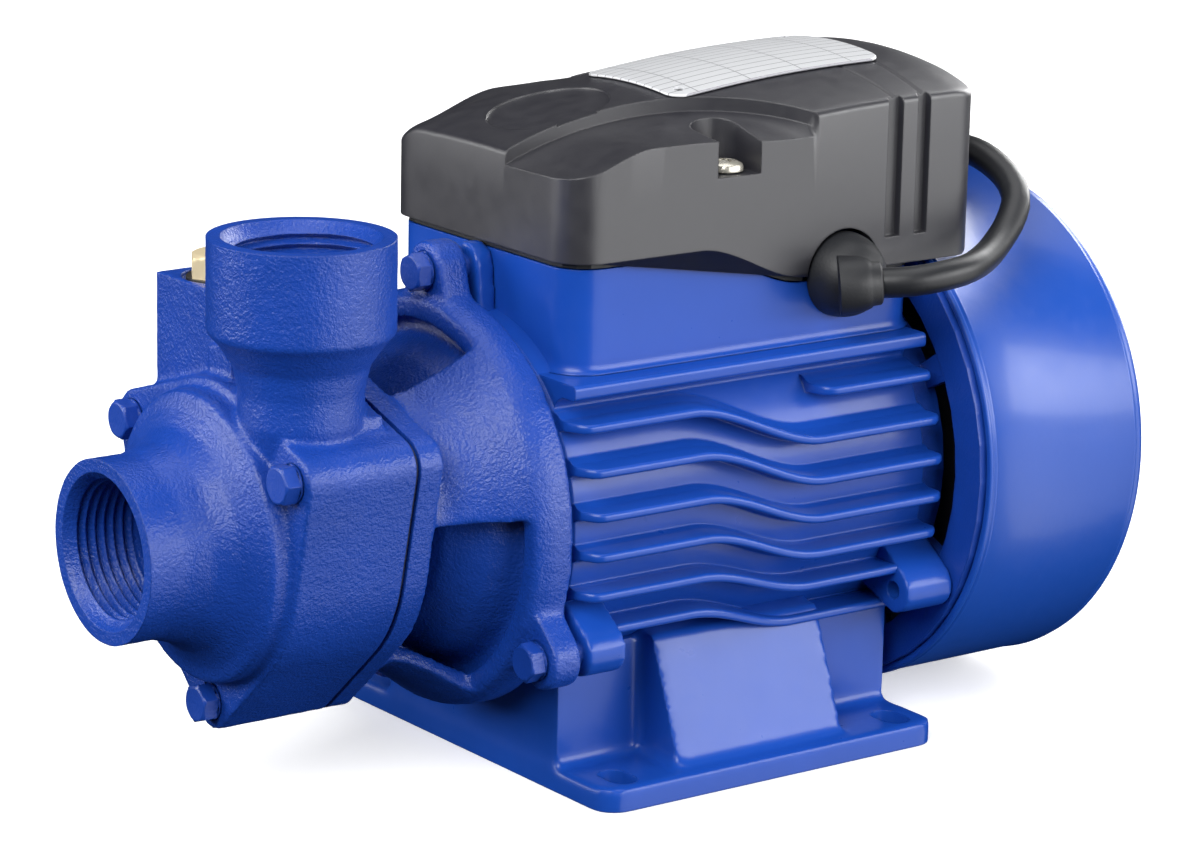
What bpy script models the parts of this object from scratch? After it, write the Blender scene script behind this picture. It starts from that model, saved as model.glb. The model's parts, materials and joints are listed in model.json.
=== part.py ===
"""A small close-coupled centrifugal water pump: iron pump end, lantern bracket, finned motor.

Metres, +Z up. The shaft runs along X at SHAFT_Z above the floor: the inlet faces -X, the outlet faces
+Z and the fan is at the +X end. The origin is the middle of the foot, on the floor.
"""
import math

import bmesh
import bpy
from mathutils import Matrix, Vector

# Shaft line and the lengthwise stations
SHAFT_Z = 0.063
GAP = 0.0003
INLET_FACE_X = -0.146
FLANGE_FRONT_X = -0.1185
CASING_REAR_X = -0.0911
GASKET_THICKNESS = 0.0006
BRACKET_FRONT_X = CASING_REAR_X + GASKET_THICKNESS + 2 * GAP
BRACKET_PLATE_X = -0.0838
RIM_FRONT_X = -0.0625
RIM_REAR_X = -0.0545
FRAME_FRONT_X = -0.0520
FRAME_REAR_X = 0.0500
SHIELD_RING_X = 0.0542
SHIELD_REAR_X = 0.0572
FAN_COVER_FRONT_X = 0.0558
FAN_COVER_REAR_X = 0.1053

# Pump end
PORT_RADIUS = 0.0206
PORT_BORE_RADIUS = 0.01515
PORT_THREAD_DEPTH = 0.018
DISC_RADIUS = 0.0327
DISC_FRONT_X = -0.1230
BODY_RADIUS = 0.0350
LOBE_RADIUS = 0.0065
LOBE_CIRCLE_RADIUS = 0.0385
LOBE_ANGLES = (30, 150, 270)
CHAMBER_RADIUS = 0.0305
OUTLET_X = -0.1080
OUTLET_Y = -0.0200
OUTLET_TOP_Z = 0.1325
OUTLET_BOSS_Z = 0.1100
OUTLET_NECK_RADIUS = 0.0138
PRIMING_LOW = (-0.1140, -0.0100, 0.0800)
PRIMING_HIGH = (-0.0925, 0.0310, 0.1160)
PRIMING_X = -0.1035
PRIMING_Y = 0.0190
PRIMING_BORE_RADIUS = 0.0060

# Lantern bracket and the ears that bolt it to the motor
RIM_RADIUS = 0.0480
EAR_CIRCLE_RADIUS = 0.0530
EAR_RADIUS = 0.0068
LUG_RADIUS = 0.0055
EAR_ANGLES = (90, 210, 330)
WINDOW_OFFSET = -4.0
WINDOW_HALF_ANGLE = 33.0
SEAL_POCKET_RADIUS = 0.0122
SHAFT_HOLE_RADIUS = 0.0075

# Motor
ROOT_RADIUS = 0.0440
BORE_RADIUS = 0.0400
FIN_TIP_RADIUS = 0.0515
FIN_THICKNESS = 0.0026
FIN_LEFT_Z = (0.0870, 0.0777, 0.0681, 0.0589, 0.0494, 0.0401)
FIN_RIGHT_Z = (0.0771, 0.0679, 0.0589, 0.0500, 0.0417, 0.0318)
FIN_DROP_START_X = -0.0200
FIN_DROP_END_X = 0.0150
SHELF_TOP_Z = 0.0965
SHELF_HALF_WIDTH = 0.0425
STATOR_HALF_LENGTH = 0.0225
STATOR_BORE_RADIUS = 0.0203
ROTOR_RADIUS = 0.0200
SHAFT_RADIUS = 0.0060
BEARING_RADIUS = 0.0160
BEARING_WIDTH = 0.0100
FRONT_BEARING_X = -0.0600
REAR_BEARING_X = 0.0440
FAN_COVER_RADIUS = 0.0606
FAN_RADIUS = 0.0500
SHEET = 0.0015

# Foot
FOOT_HALF_LENGTH = 0.0487
FOOT_HALF_WIDTH = 0.0544
FOOT_THICKNESS = 0.0055
PEDESTAL_HALF_WIDTH = 0.0340
SLOT_X = 0.0400
SLOT_Y = 0.0465
SLOT_RADIUS = 0.0036
SLOT_STRETCH = 0.0034

# Terminal box: steel base and plastic cover
BOX_FRONT_X = -0.0470
BOX_REAR_X = 0.0535
BOX_HALF_WIDTH = 0.0355
BOX_BOTTOM_Z = 0.0968
COVER_FRONT_X = -0.0484
COVER_SIDE_REAR_X = 0.0620
COVER_REAR_X = 0.0740
COVER_HALF_WIDTH = 0.0371
COVER_FRONT_Z = 0.1219
COVER_REAR_Z = 0.1125
COVER_TOP_Z = 0.1580
COVER_PEAK_X = 0.0600
COVER_RISE = 0.0140
COVER_REAR_CURVE = 20.0
COVER_WALL = 0.0025
STEP_START_X = -0.0130
STEP_END_X = 0.0180
BOX_GASKET = 0.0010
GLAND_X = 0.0290
GLAND_Z = 0.1118
COVER_SCREW_X = -0.0020
COVER_SCREW_Y = 0.0285

# Cord
CORD_RADIUS = 0.0035
CORD_SPACING = 0.0085
COIL_CENTRE = (0.0240, 0.1220)
COIL_INNER_RADIUS = 0.0315
COIL_OUTER_RADIUS = 0.0455
COIL_HEIGHT = 0.0140
SLEEVE_LENGTH = 0.0095
PLUG_X = -0.0440
PLUG_RADIUS = 0.0170
PLUG_PIN_FACE_Y = 0.0820
PLUG_LENGTH = 0.0520

BLUE = (0.010, 0.045, 0.330, 1.0)
IRON_BLUE = (0.012, 0.050, 0.300, 1.0)
BLACK_PLASTIC = (0.030, 0.030, 0.032, 1.0)
RUBBER = (0.018, 0.019, 0.020, 1.0)
STEEL = (0.550, 0.550, 0.560, 1.0)
BRASS = (0.750, 0.560, 0.220, 1.0)
COPPER = (0.640, 0.260, 0.120, 1.0)
ALUMINIUM = (0.700, 0.710, 0.720, 1.0)
WHITE_PLASTIC = (0.750, 0.750, 0.720, 1.0)

AXIS_MATRICES = {
    "X": Matrix(((0, 0, 1), (1, 0, 0), (0, 1, 0))),
    "Y": Matrix(((1, 0, 0), (0, 0, -1), (0, 1, 0))),
    "Z": Matrix.Identity(3),
}


def clear_scene():
    for thing in list(bpy.data.objects):
        bpy.data.objects.remove(thing, do_unlink=True)


def make_collection(name):
    collection = bpy.data.collections.new(name)
    bpy.context.scene.collection.children.link(collection)
    return collection


def make_material(name, colour, roughness, metallic):
    material = bpy.data.materials.new(name)
    material.use_nodes = True
    shader = material.node_tree.nodes["Principled BSDF"]
    shader.inputs["Base Color"].default_value = colour
    shader.inputs["Roughness"].default_value = roughness
    shader.inputs["Metallic"].default_value = metallic
    return material


def add_object(name, data, hidden=False):
    """Link an object into the pump's collection, or among the hidden helpers."""
    thing = bpy.data.objects.new(name, data)
    if hidden:
        HELPERS.objects.link(thing)
        thing.hide_render = True
        thing.display_type = "WIRE"
    else:
        PUMP.objects.link(thing)
    return thing


def place(thing, axis, centre):
    thing.matrix_world = Matrix.Translation(Vector(centre)) @ AXIS_MATRICES[axis].to_4x4()


def paint(thing, colour, roughness=0.4, metallic=0.0):
    thing.data.materials.clear()
    thing.data.materials.append(make_material(thing.name, colour, roughness, metallic))
    return thing


def primitive(name, fill, hidden):
    mesh = bpy.data.meshes.new(name)
    shape = bmesh.new()
    fill(shape)
    shape.to_mesh(mesh)
    shape.free()
    return add_object(name, mesh, hidden)


def cylinder(name, axis, centre, radius, low, high, sides=32, hidden=True, end_radius=None):
    """A cylinder or cone from low to high along an axis through centre, which gives the other two."""
    top = radius if end_radius is None else end_radius

    def fill(shape):
        bmesh.ops.create_cone(shape, cap_ends=True, segments=sides, radius1=radius, radius2=top,
                              depth=high - low)

    thing = primitive(name, fill, hidden)
    middle = Vector(centre)
    middle["XYZ".index(axis)] = 0.0
    along = AXIS_MATRICES[axis] @ Vector((0, 0, (low + high) / 2))
    if axis == "Y":
        along = -along
    place(thing, axis, middle + along)
    return thing


def box(name, low, high, hidden=True, bevel=0.0, bevel_segments=2):
    size = [b - a for a, b in zip(low, high)]
    middle = [(a + b) / 2 for a, b in zip(low, high)]

    def fill(shape):
        bmesh.ops.create_cube(shape, size=1.0)
        bmesh.ops.scale(shape, vec=size, verts=shape.verts)

    thing = primitive(name, fill, hidden)
    thing.location = middle
    if bevel:
        modifier = thing.modifiers.new("Bevel", "BEVEL")
        modifier.width = bevel
        modifier.segments = bevel_segments
    return thing


def turned(name, axis, centre, profile, steps=32, hidden=False):
    """Turn (radius, distance) points about an axis; a closed profile repeats its first point."""
    closed = profile[0] == profile[-1]
    points = profile[:-1] if closed else profile
    mesh = bpy.data.meshes.new(name)
    edges = [(i, i + 1) for i in range(len(points) - 1)]
    if closed:
        edges.append((len(points) - 1, 0))
    mesh.from_pydata([(radius, 0.0, height) for radius, height in points], edges, [])
    thing = add_object(name, mesh, hidden)
    place(thing, axis, centre)
    screw = thing.modifiers.new("Screw", "SCREW")
    screw.steps = steps
    screw.render_steps = steps
    screw.use_merge_vertices = True
    screw.merge_threshold = 0.00001
    return thing


def to_mesh(thing):
    """Swap an object for a copy with its modifiers or curve made into a welded mesh."""
    evaluated = thing.evaluated_get(bpy.context.evaluated_depsgraph_get())
    mesh = bpy.data.meshes.new_from_object(evaluated)
    shape = bmesh.new()
    shape.from_mesh(mesh)
    bmesh.ops.remove_doubles(shape, verts=shape.verts, dist=0.00001)
    shape.to_mesh(mesh)
    shape.free()
    name = thing.name
    hidden = thing.hide_render
    matrix = thing.matrix_world.copy()
    bpy.data.objects.remove(thing, do_unlink=True)
    solid = add_object(name, mesh, hidden)
    solid.name = name
    solid.matrix_world = matrix
    return solid


def prism(name, axis, outline, low, high, hidden=True):
    """Extrude an outline along an axis. It is (y, z) along X, (x, z) along Y and (x, y) along Z."""
    curve = bpy.data.curves.new(name, "CURVE")
    curve.dimensions = "2D"
    curve.fill_mode = "BOTH"
    curve.extrude = (high - low) / 2
    spline = curve.splines.new("POLY")
    spline.points.add(len(outline) - 1)
    for point, (u, v) in zip(spline.points, outline):
        point.co = (u, v, 0.0, 1.0)
    spline.use_cyclic_u = True
    thing = add_object(name, curve, hidden)
    centre = Vector((0, 0, 0))
    centre["XYZ".index(axis)] = (low + high) / 2
    place(thing, axis, centre)
    bpy.context.view_layer.update()
    return to_mesh(thing)


def combine(target, operation, others):
    for other in others:
        modifier = target.modifiers.new(other.name, "BOOLEAN")
        modifier.operation = operation
        modifier.solver = "EXACT"
        modifier.object = other
    return target


def join(target, others):
    return combine(target, "UNION", others)


def cut(target, others):
    return combine(target, "DIFFERENCE", others)


def smooth(thing, angle=35.0):
    """Shade a finished object smooth, with its sharp edges kept."""
    bpy.context.view_layer.update()
    thing = to_mesh(thing)
    thing.data.shade_smooth()
    thing.data.set_sharp_from_angle(angle=math.radians(angle))
    return thing


def polar(radius, degrees):
    """The (y, z) of a point about the shaft, counted from +Y towards +Z."""
    angle = math.radians(degrees)
    return radius * math.cos(angle), SHAFT_Z + radius * math.sin(angle)


def arc(centre, radius, start, end, steps):
    """Points on an arc, with its angles in degrees."""
    points = []
    for step in range(steps + 1):
        angle = math.radians(start + (end - start) * step / steps)
        points.append((centre[0] + radius * math.cos(angle), centre[1] + radius * math.sin(angle)))
    return points


def lobed_outline(body_radius, lobe_radius):
    """The pump flange: a circle with three bolt lobes, joined by their common tangents."""
    spread = math.degrees(math.acos((body_radius - lobe_radius) / LOBE_CIRCLE_RADIUS))
    points = []
    for angle in LOBE_ANGLES:
        points += arc(polar(LOBE_CIRCLE_RADIUS, angle), lobe_radius, angle - spread, angle + spread, 6)
        points += arc((0.0, SHAFT_Z), body_radius, angle + spread, angle + 120 - spread, 4)
    return points


def rounded_rectangle(low, high, radius, steps=4):
    corners = ((high[0] - radius, high[1] - radius, 0), (low[0] + radius, high[1] - radius, 90),
               (low[0] + radius, low[1] + radius, 180), (high[0] - radius, low[1] + radius, 270))
    points = []
    for x, y, start in corners:
        points += arc((x, y), radius, start, start + 90, steps)
    return points


def smoothstep(value):
    value = min(max(value, 0.0), 1.0)
    return value * value * (3 - 2 * value)


def shaft_line(x=0.0):
    return (x, 0.0, SHAFT_Z)


def make_hex_bolt(name, across_flats, head_thickness, shank_radius, shank_length):
    """A bolt along +X with its head's bearing face at x = 0."""
    head = cylinder(name, "X", (0, 0, 0), across_flats / math.sqrt(3), -head_thickness, 0.0, 6)
    shank = cylinder(name + "_shank", "X", (0, 0, 0), shank_radius, -0.001, shank_length, 12)
    join(head, [shank])
    bpy.context.view_layer.update()
    bolt = to_mesh(head)
    mesh = bolt.data
    mesh.transform(bolt.matrix_world)
    bpy.data.objects.remove(bolt, do_unlink=True)
    mesh.shade_smooth()
    mesh.set_sharp_from_angle(angle=math.radians(30))
    return mesh


def add_bolts(stem, mesh, x, radius, angles, colour, turn=0.0):
    for number, angle in enumerate(angles, 1):
        bolt = add_object(f"{stem}_{number}", mesh)
        y, z = polar(radius, angle)
        spin = Matrix.Rotation(math.radians(angle), 4, "X") @ Matrix.Rotation(turn, 4, "Z")
        bolt.matrix_world = Matrix.Translation((x, y, z)) @ spin
    mesh.materials.append(make_material(stem, colour, 0.35, 0.2))


# --- Pump end ------------------------------------------------------------------------------------

def make_casing():
    casing = prism("pump_casing", "X", lobed_outline(BODY_RADIUS, LOBE_RADIUS), FLANGE_FRONT_X,
                   CASING_REAR_X, hidden=False)
    inlet = [(0.0, -0.1160), (DISC_RADIUS, -0.1160), (DISC_RADIUS, DISC_FRONT_X + 0.0010),
             (DISC_RADIUS - 0.0010, DISC_FRONT_X), (0.0290, -0.1242), (0.0250, -0.1268),
             (0.0222, -0.1310), (PORT_RADIUS, -0.1370), (PORT_RADIUS, INLET_FACE_X + 0.0006),
             (PORT_RADIUS - 0.0006, INLET_FACE_X), (0.0, INLET_FACE_X)]
    outlet = [(0.0, OUTLET_TOP_Z), (PORT_RADIUS - 0.0006, OUTLET_TOP_Z),
              (PORT_RADIUS, OUTLET_TOP_Z - 0.0006), (PORT_RADIUS, OUTLET_BOSS_Z + 0.0020),
              (PORT_RADIUS - 0.0020, OUTLET_BOSS_Z), (OUTLET_NECK_RADIUS + 0.0010, OUTLET_BOSS_Z - 0.0060),
              (OUTLET_NECK_RADIUS, 0.0970), (OUTLET_NECK_RADIUS, 0.0700), (0.0, 0.0700)]
    neck_centre = (OUTLET_X, OUTLET_Y, 0.0)
    shoulder = [(-0.0345, 0.0720), (-0.0330, 0.0880), (-0.0310, 0.0970), (-0.0100, 0.1000),
                (0.0200, 0.0900), (0.0, 0.0720)]
    join(casing, [
        turned("inlet_port", "X", shaft_line(), inlet, 32, hidden=True),
        turned("outlet_port", "Z", neck_centre, outlet, 32, hidden=True),
        box("priming_tower", PRIMING_LOW, PRIMING_HIGH, bevel=0.0020, bevel_segments=1),
        prism("outlet_shoulder", "X", shoulder, -0.1165, -0.0940),
    ])
    bolt_holes = [cylinder(f"casing_hole_{angle}", "X", (0, *polar(LOBE_CIRCLE_RADIUS, angle)), 0.0028,
                           FLANGE_FRONT_X - 0.005, CASING_REAR_X + 0.005, 12) for angle in LOBE_ANGLES]
    inlet_passage = [(0.0, -0.1095), (0.0125, -0.1095), (0.0125, INLET_FACE_X + PORT_THREAD_DEPTH + 0.003),
                     (PORT_BORE_RADIUS, INLET_FACE_X + PORT_THREAD_DEPTH),
                     (PORT_BORE_RADIUS, INLET_FACE_X + 0.0020),
                     (PORT_BORE_RADIUS + 0.0040, INLET_FACE_X - 0.0020), (0.0, INLET_FACE_X - 0.0020)]
    outlet_passage = [(0.0, OUTLET_TOP_Z + 0.0020), (PORT_BORE_RADIUS + 0.0040, OUTLET_TOP_Z + 0.0020),
                      (PORT_BORE_RADIUS, OUTLET_TOP_Z - 0.0020),
                      (PORT_BORE_RADIUS, OUTLET_TOP_Z - PORT_THREAD_DEPTH),
                      (0.0095, OUTLET_TOP_Z - PORT_THREAD_DEPTH - 0.004), (0.0095, 0.0700), (0.0, 0.0700)]
    cut(casing, [
        turned("inlet_passage", "X", shaft_line(), inlet_passage, 25, hidden=True),
        cylinder("volute", "X", shaft_line(), CHAMBER_RADIUS, -0.1135, CASING_REAR_X + 0.002, 29),
        turned("outlet_passage", "Z", neck_centre, outlet_passage, 25, hidden=True),
        cylinder("priming_bore", "Z", (PRIMING_X, PRIMING_Y, 0), PRIMING_BORE_RADIUS, 0.0700,
                 PRIMING_HIGH[2] + 0.002, 20),
        cylinder("priming_recess", "Z", (PRIMING_X, PRIMING_Y, 0), 0.0095, PRIMING_HIGH[2] - 0.0012,
                 PRIMING_HIGH[2] + 0.002, 20),
    ] + bolt_holes)
    paint(smooth(casing), IRON_BLUE, 0.35)


def make_casing_seal():
    gasket = prism("casing_gasket", "X", lobed_outline(BODY_RADIUS - 0.0008, LOBE_RADIUS - 0.0008),
                   CASING_REAR_X + GAP, BRACKET_FRONT_X - GAP, hidden=False)
    holes = [cylinder(f"gasket_hole_{angle}", "X", (0, *polar(LOBE_CIRCLE_RADIUS, angle)), 0.0029,
                      CASING_REAR_X - 0.002, BRACKET_FRONT_X + 0.002, 12) for angle in LOBE_ANGLES]
    cut(gasket, [cylinder("gasket_bore", "X", shaft_line(), CHAMBER_RADIUS + 0.0005,
                          CASING_REAR_X - 0.002, BRACKET_FRONT_X + 0.002, 24)] + holes)
    paint(smooth(gasket), (0.05, 0.05, 0.05, 1.0), 0.8)


def make_priming_plug():
    """A brass plug whose washer seats in the recess on the priming tower."""
    seat = PRIMING_HIGH[2] - 0.0012
    washer = [(0.0085, seat + 0.0013), (0.0085, seat + GAP), (0.0060, seat + GAP),
              (0.0060, seat + 0.0013), (0.0085, seat + 0.0013)]
    centre = (PRIMING_X, PRIMING_Y, 0.0)
    paint(smooth(turned("plug_washer", "Z", centre, washer, 24)), RUBBER, 0.7)
    neck_low = seat + 0.0013 + GAP
    profile = [(0.0, neck_low + 0.0020), (0.0078, neck_low + 0.0020), (0.0078, neck_low),
               (0.0056, neck_low), (0.0056, seat - 0.0120), (0.0046, seat - 0.0130),
               (0.0, seat - 0.0130)]
    plug = turned("priming_plug", "Z", centre, profile, 24)
    join(plug, [cylinder("plug_hex", "Z", centre, 0.0082, neck_low + 0.0010, neck_low + 0.0075, 6)])
    paint(smooth(plug), BRASS, 0.3, 1.0)


def make_impeller():
    """Back plate with a hub and six swept-back blades."""
    back, front = -0.0945, -0.1110
    profile = [(0.0, back), (0.0280, back), (0.0280, back - 0.0025), (0.0090, back - 0.0025),
               (0.0080, front + 0.0040), (0.0, front + 0.0040)]
    impeller = turned("impeller", "X", shaft_line(), profile, 28)
    blades = []
    for number in range(6):
        blade = [(0.0065, -0.0010), (0.0150, -0.0060), (0.0225, -0.0155), (0.0240, -0.0140),
                 (0.0165, -0.0042), (0.0070, 0.0014)]
        turn = Matrix.Rotation(math.radians(60 * number), 2)
        outline = [tuple(turn @ Vector(point) + Vector((0.0, SHAFT_Z))) for point in blade]
        blades.append(prism(f"blade_{number}", "X", outline, front, back - 0.001))
    join(impeller, blades)
    cut(impeller, [cylinder("impeller_bore", "X", shaft_line(), 0.0053, -0.13, -0.08, 20),
                   box("impeller_keyway", (-0.13, -0.0013, SHAFT_Z), (-0.08, 0.0013, SHAFT_Z + 0.0066))])
    paint(smooth(impeller), BRASS, 0.35, 1.0)
    paint(box("impeller_key", (-0.1065, -0.0010, SHAFT_Z + 0.0038), (-0.0965, 0.0010, SHAFT_Z + 0.0062),
              hidden=False), STEEL, 0.3, 1.0)
    nut = cylinder("impeller_nut", "X", shaft_line(), 0.0068, -0.1120, -0.1074, 6, hidden=False)
    cut(nut, [cylinder("nut_bore", "X", shaft_line(), 0.0033, -0.12, -0.10, 16)])
    paint(smooth(nut), BRASS, 0.3, 1.0)


def make_shaft_seal():
    """A spring-loaded face seal between the impeller and the bracket's hub."""
    seat = [(0.0110, -0.0862), (0.0110, -0.0890), (0.0068, -0.0890), (0.0068, -0.0862),
            (0.0110, -0.0862)]
    paint(smooth(turned("seal_seat", "X", shaft_line(), seat, 24)), WHITE_PLASTIC, 0.3)
    cup = [(0.0119, -0.0856), (0.0119, -0.0888), (0.0113, -0.0888), (0.0113, -0.0859),
           (0.0078, -0.0859), (0.0078, -0.0856), (0.0119, -0.0856)]
    paint(smooth(turned("seal_seat_cup", "X", shaft_line(), cup, 24)), RUBBER, 0.7)
    ring = [(0.0090, -0.0893), (0.0090, -0.0912), (0.0064, -0.0912), (0.0064, -0.0893),
            (0.0090, -0.0893)]
    paint(smooth(turned("seal_ring", "X", shaft_line(), ring, 24)), (0.03, 0.03, 0.03, 1.0), 0.4)


# --- Bracket ---------------------------------------------------------------------------------------

def make_bracket():
    """The lantern: pump flange, three struts, domed bearing housing and the rim with its ears."""
    bracket = prism("bracket", "X", lobed_outline(BODY_RADIUS, LOBE_RADIUS), BRACKET_FRONT_X,
                    BRACKET_PLATE_X, hidden=False)
    disc_front_x = BRACKET_FRONT_X + 0.0012
    disc_rear_x = BRACKET_PLATE_X - 0.0008
    bell_inside = [(0.0310, disc_rear_x), (0.0335, -0.0770), (0.0385, -0.0690), (0.0425, -0.0625)]
    section = [(BORE_RADIUS - GAP, -0.0490), (BORE_RADIUS - GAP, RIM_REAR_X),
               (RIM_RADIUS, RIM_REAR_X), (RIM_RADIUS, -0.0600), (0.0455, -0.0655), (0.0405, -0.0720),
               (0.0360, -0.0790), (0.0346, BRACKET_PLATE_X + 0.0003), (0.0338, disc_front_x),
               (SEAL_POCKET_RADIUS, disc_front_x), (SEAL_POCKET_RADIUS, -0.0853),
               (SHAFT_HOLE_RADIUS, -0.0853), (SHAFT_HOLE_RADIUS, disc_rear_x)]
    section += bell_inside
    section += [(0.0425, -0.0600), (0.0385, -0.0600), (0.0340, -0.0680), (0.0270, -0.0750),
                (0.0190, -0.0785), (SHAFT_HOLE_RADIUS, -0.0790),
                (SHAFT_HOLE_RADIUS, FRONT_BEARING_X - BEARING_WIDTH / 2 - GAP),
                (BEARING_RADIUS + GAP, FRONT_BEARING_X - BEARING_WIDTH / 2 - GAP),
                (BEARING_RADIUS + GAP, RIM_REAR_X + 0.0004), (BORE_RADIUS - 0.0035, RIM_REAR_X + 0.0004),
                (BORE_RADIUS - 0.0035, -0.0490)]
    section.append(section[0])
    lantern = turned("lantern", "X", shaft_line(), section, 36, hidden=True)
    jacket = [(0.0700, -0.0642), (0.0700, -0.0838), (0.0285, -0.0838), (0.0310, -0.0775),
              (0.0362, -0.0690), (0.0385, -0.0642), (0.0700, -0.0642)]
    windows = []
    for angle in EAR_ANGLES:
        middle = angle + WINDOW_OFFSET
        wedge = [(0.0, SHAFT_Z)]
        wedge += [polar(0.0900, middle + side * WINDOW_HALF_ANGLE) for side in (-1.0, 0.0, 1.0)]
        window = prism(f"window_{angle}", "X", wedge, -0.0900, -0.0600)
        shape = turned(f"window_jacket_{angle}", "X", shaft_line(), jacket, 31, hidden=True)
        windows.append(combine(window, "INTERSECT", [shape]))
    cut(lantern, windows)
    ears = []
    for angle in EAR_ANGLES:
        centre = polar(EAR_CIRCLE_RADIUS, angle)
        outline = arc(centre, EAR_RADIUS, angle - 90, angle + 90, 8)
        outline += [polar(0.0450, angle + 12), polar(0.0450, angle - 12)]
        ears.append(prism(f"ear_{angle}", "X", outline, RIM_FRONT_X, RIM_REAR_X - 0.0002))
    cut(bracket, [cylinder("flange_opening", "X", shaft_line(), 0.0300, BRACKET_FRONT_X - 0.002,
                           BRACKET_PLATE_X + 0.002, 35)])
    join(bracket, [lantern] + ears)
    holes = [cylinder(f"ear_hole_{angle}", "X", (0, *polar(EAR_CIRCLE_RADIUS, angle)), 0.0033,
                      RIM_FRONT_X - 0.004, RIM_REAR_X + 0.004, 12) for angle in EAR_ANGLES]
    holes += [cylinder(f"flange_hole_{angle}", "X", (0, *polar(LOBE_CIRCLE_RADIUS, angle)), 0.0028,
                       BRACKET_FRONT_X - 0.002, BRACKET_PLATE_X + 0.002, 12) for angle in LOBE_ANGLES]
    cut(bracket, holes)
    paint(smooth(bracket), IRON_BLUE, 0.4)


# --- Motor -----------------------------------------------------------------------------------------

def fin_centre_z(left, right, x):
    """Height of a fin along the motor: level, then an S-shaped drop, then level again."""
    way = (x - FIN_DROP_START_X) / (FIN_DROP_END_X - FIN_DROP_START_X)
    return left + (right - left) * smoothstep(way)


def fin_outline(left, right, start, end):
    stations = [start]
    for step in range(6):
        stations.append(FIN_DROP_START_X + (FIN_DROP_END_X - FIN_DROP_START_X) * step / 5)
    stations.append(end)
    half = FIN_THICKNESS / 2
    upper = [(x, fin_centre_z(left, right, x) + half) for x in stations]
    lower = [(x, fin_centre_z(left, right, x) - half) for x in reversed(stations)]
    return upper + lower


def make_frame_fins(side):
    """The S-shaped cooling fins of one side, trimmed to the fin tip circle."""
    near, far = (-0.0600, -0.0280) if side < 0 else (0.0280, 0.0600)
    fins = []
    for number, (left, right) in enumerate(zip(FIN_LEFT_Z, FIN_RIGHT_Z)):
        fin = prism(f"fin_{side}_{number}", "Y", fin_outline(left, right, FRAME_FRONT_X, FRAME_REAR_X),
                    near, far)
        trim = cylinder(f"fin_trim_{side}_{number}", "X", shaft_line(), FIN_TIP_RADIUS,
                        FRAME_FRONT_X - 0.01, FRAME_REAR_X + 0.01, 48)
        combine(fin, "INTERSECT", [trim])
        fins.append(fin)
    return fins


def make_foot():
    """The cast foot: plate, hollow pedestal with a middle rib, and a sloped buttress on each side."""
    plate = prism("foot_plate", "Z", rounded_rectangle((-FOOT_HALF_LENGTH, -FOOT_HALF_WIDTH),
                  (FOOT_HALF_LENGTH, FOOT_HALF_WIDTH), 0.0060, 2), 0.0, FOOT_THICKNESS)
    pedestal = box("pedestal", (-FOOT_HALF_LENGTH, -PEDESTAL_HALF_WIDTH, 0.0010),
                   (FOOT_HALF_LENGTH, PEDESTAL_HALF_WIDTH, 0.0370))
    parts = [plate, pedestal]
    for side in (-1, 1):
        slope = [(side * 0.0320, 0.0010), (side * 0.0500, 0.0050), (side * 0.0385, 0.0345),
                 (side * 0.0320, 0.0345)]
        if side > 0:
            slope.reverse()
        parts.append(prism(f"buttress_{side}", "X", slope, -0.0250, 0.0230))
    return parts


def foot_cutters():
    cutters = []
    for end in (-1, 1):
        low, high = sorted((end * 0.0030, end * 0.0450))
        cutters.append(box(f"foot_pocket_{end}", (low, -0.0300, -0.0010), (high, 0.0300, 0.0150)))
        for side in (-1, 1):
            slot = []
            slot += arc((end * SLOT_X, side * SLOT_Y + SLOT_STRETCH / 2), SLOT_RADIUS, 0, 180, 6)
            slot += arc((end * SLOT_X, side * SLOT_Y - SLOT_STRETCH / 2), SLOT_RADIUS, 180, 360, 6)
            cutters.append(prism(f"foot_slot_{end}_{side}", "Z", slot, -0.002, 0.008))
    return cutters


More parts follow.
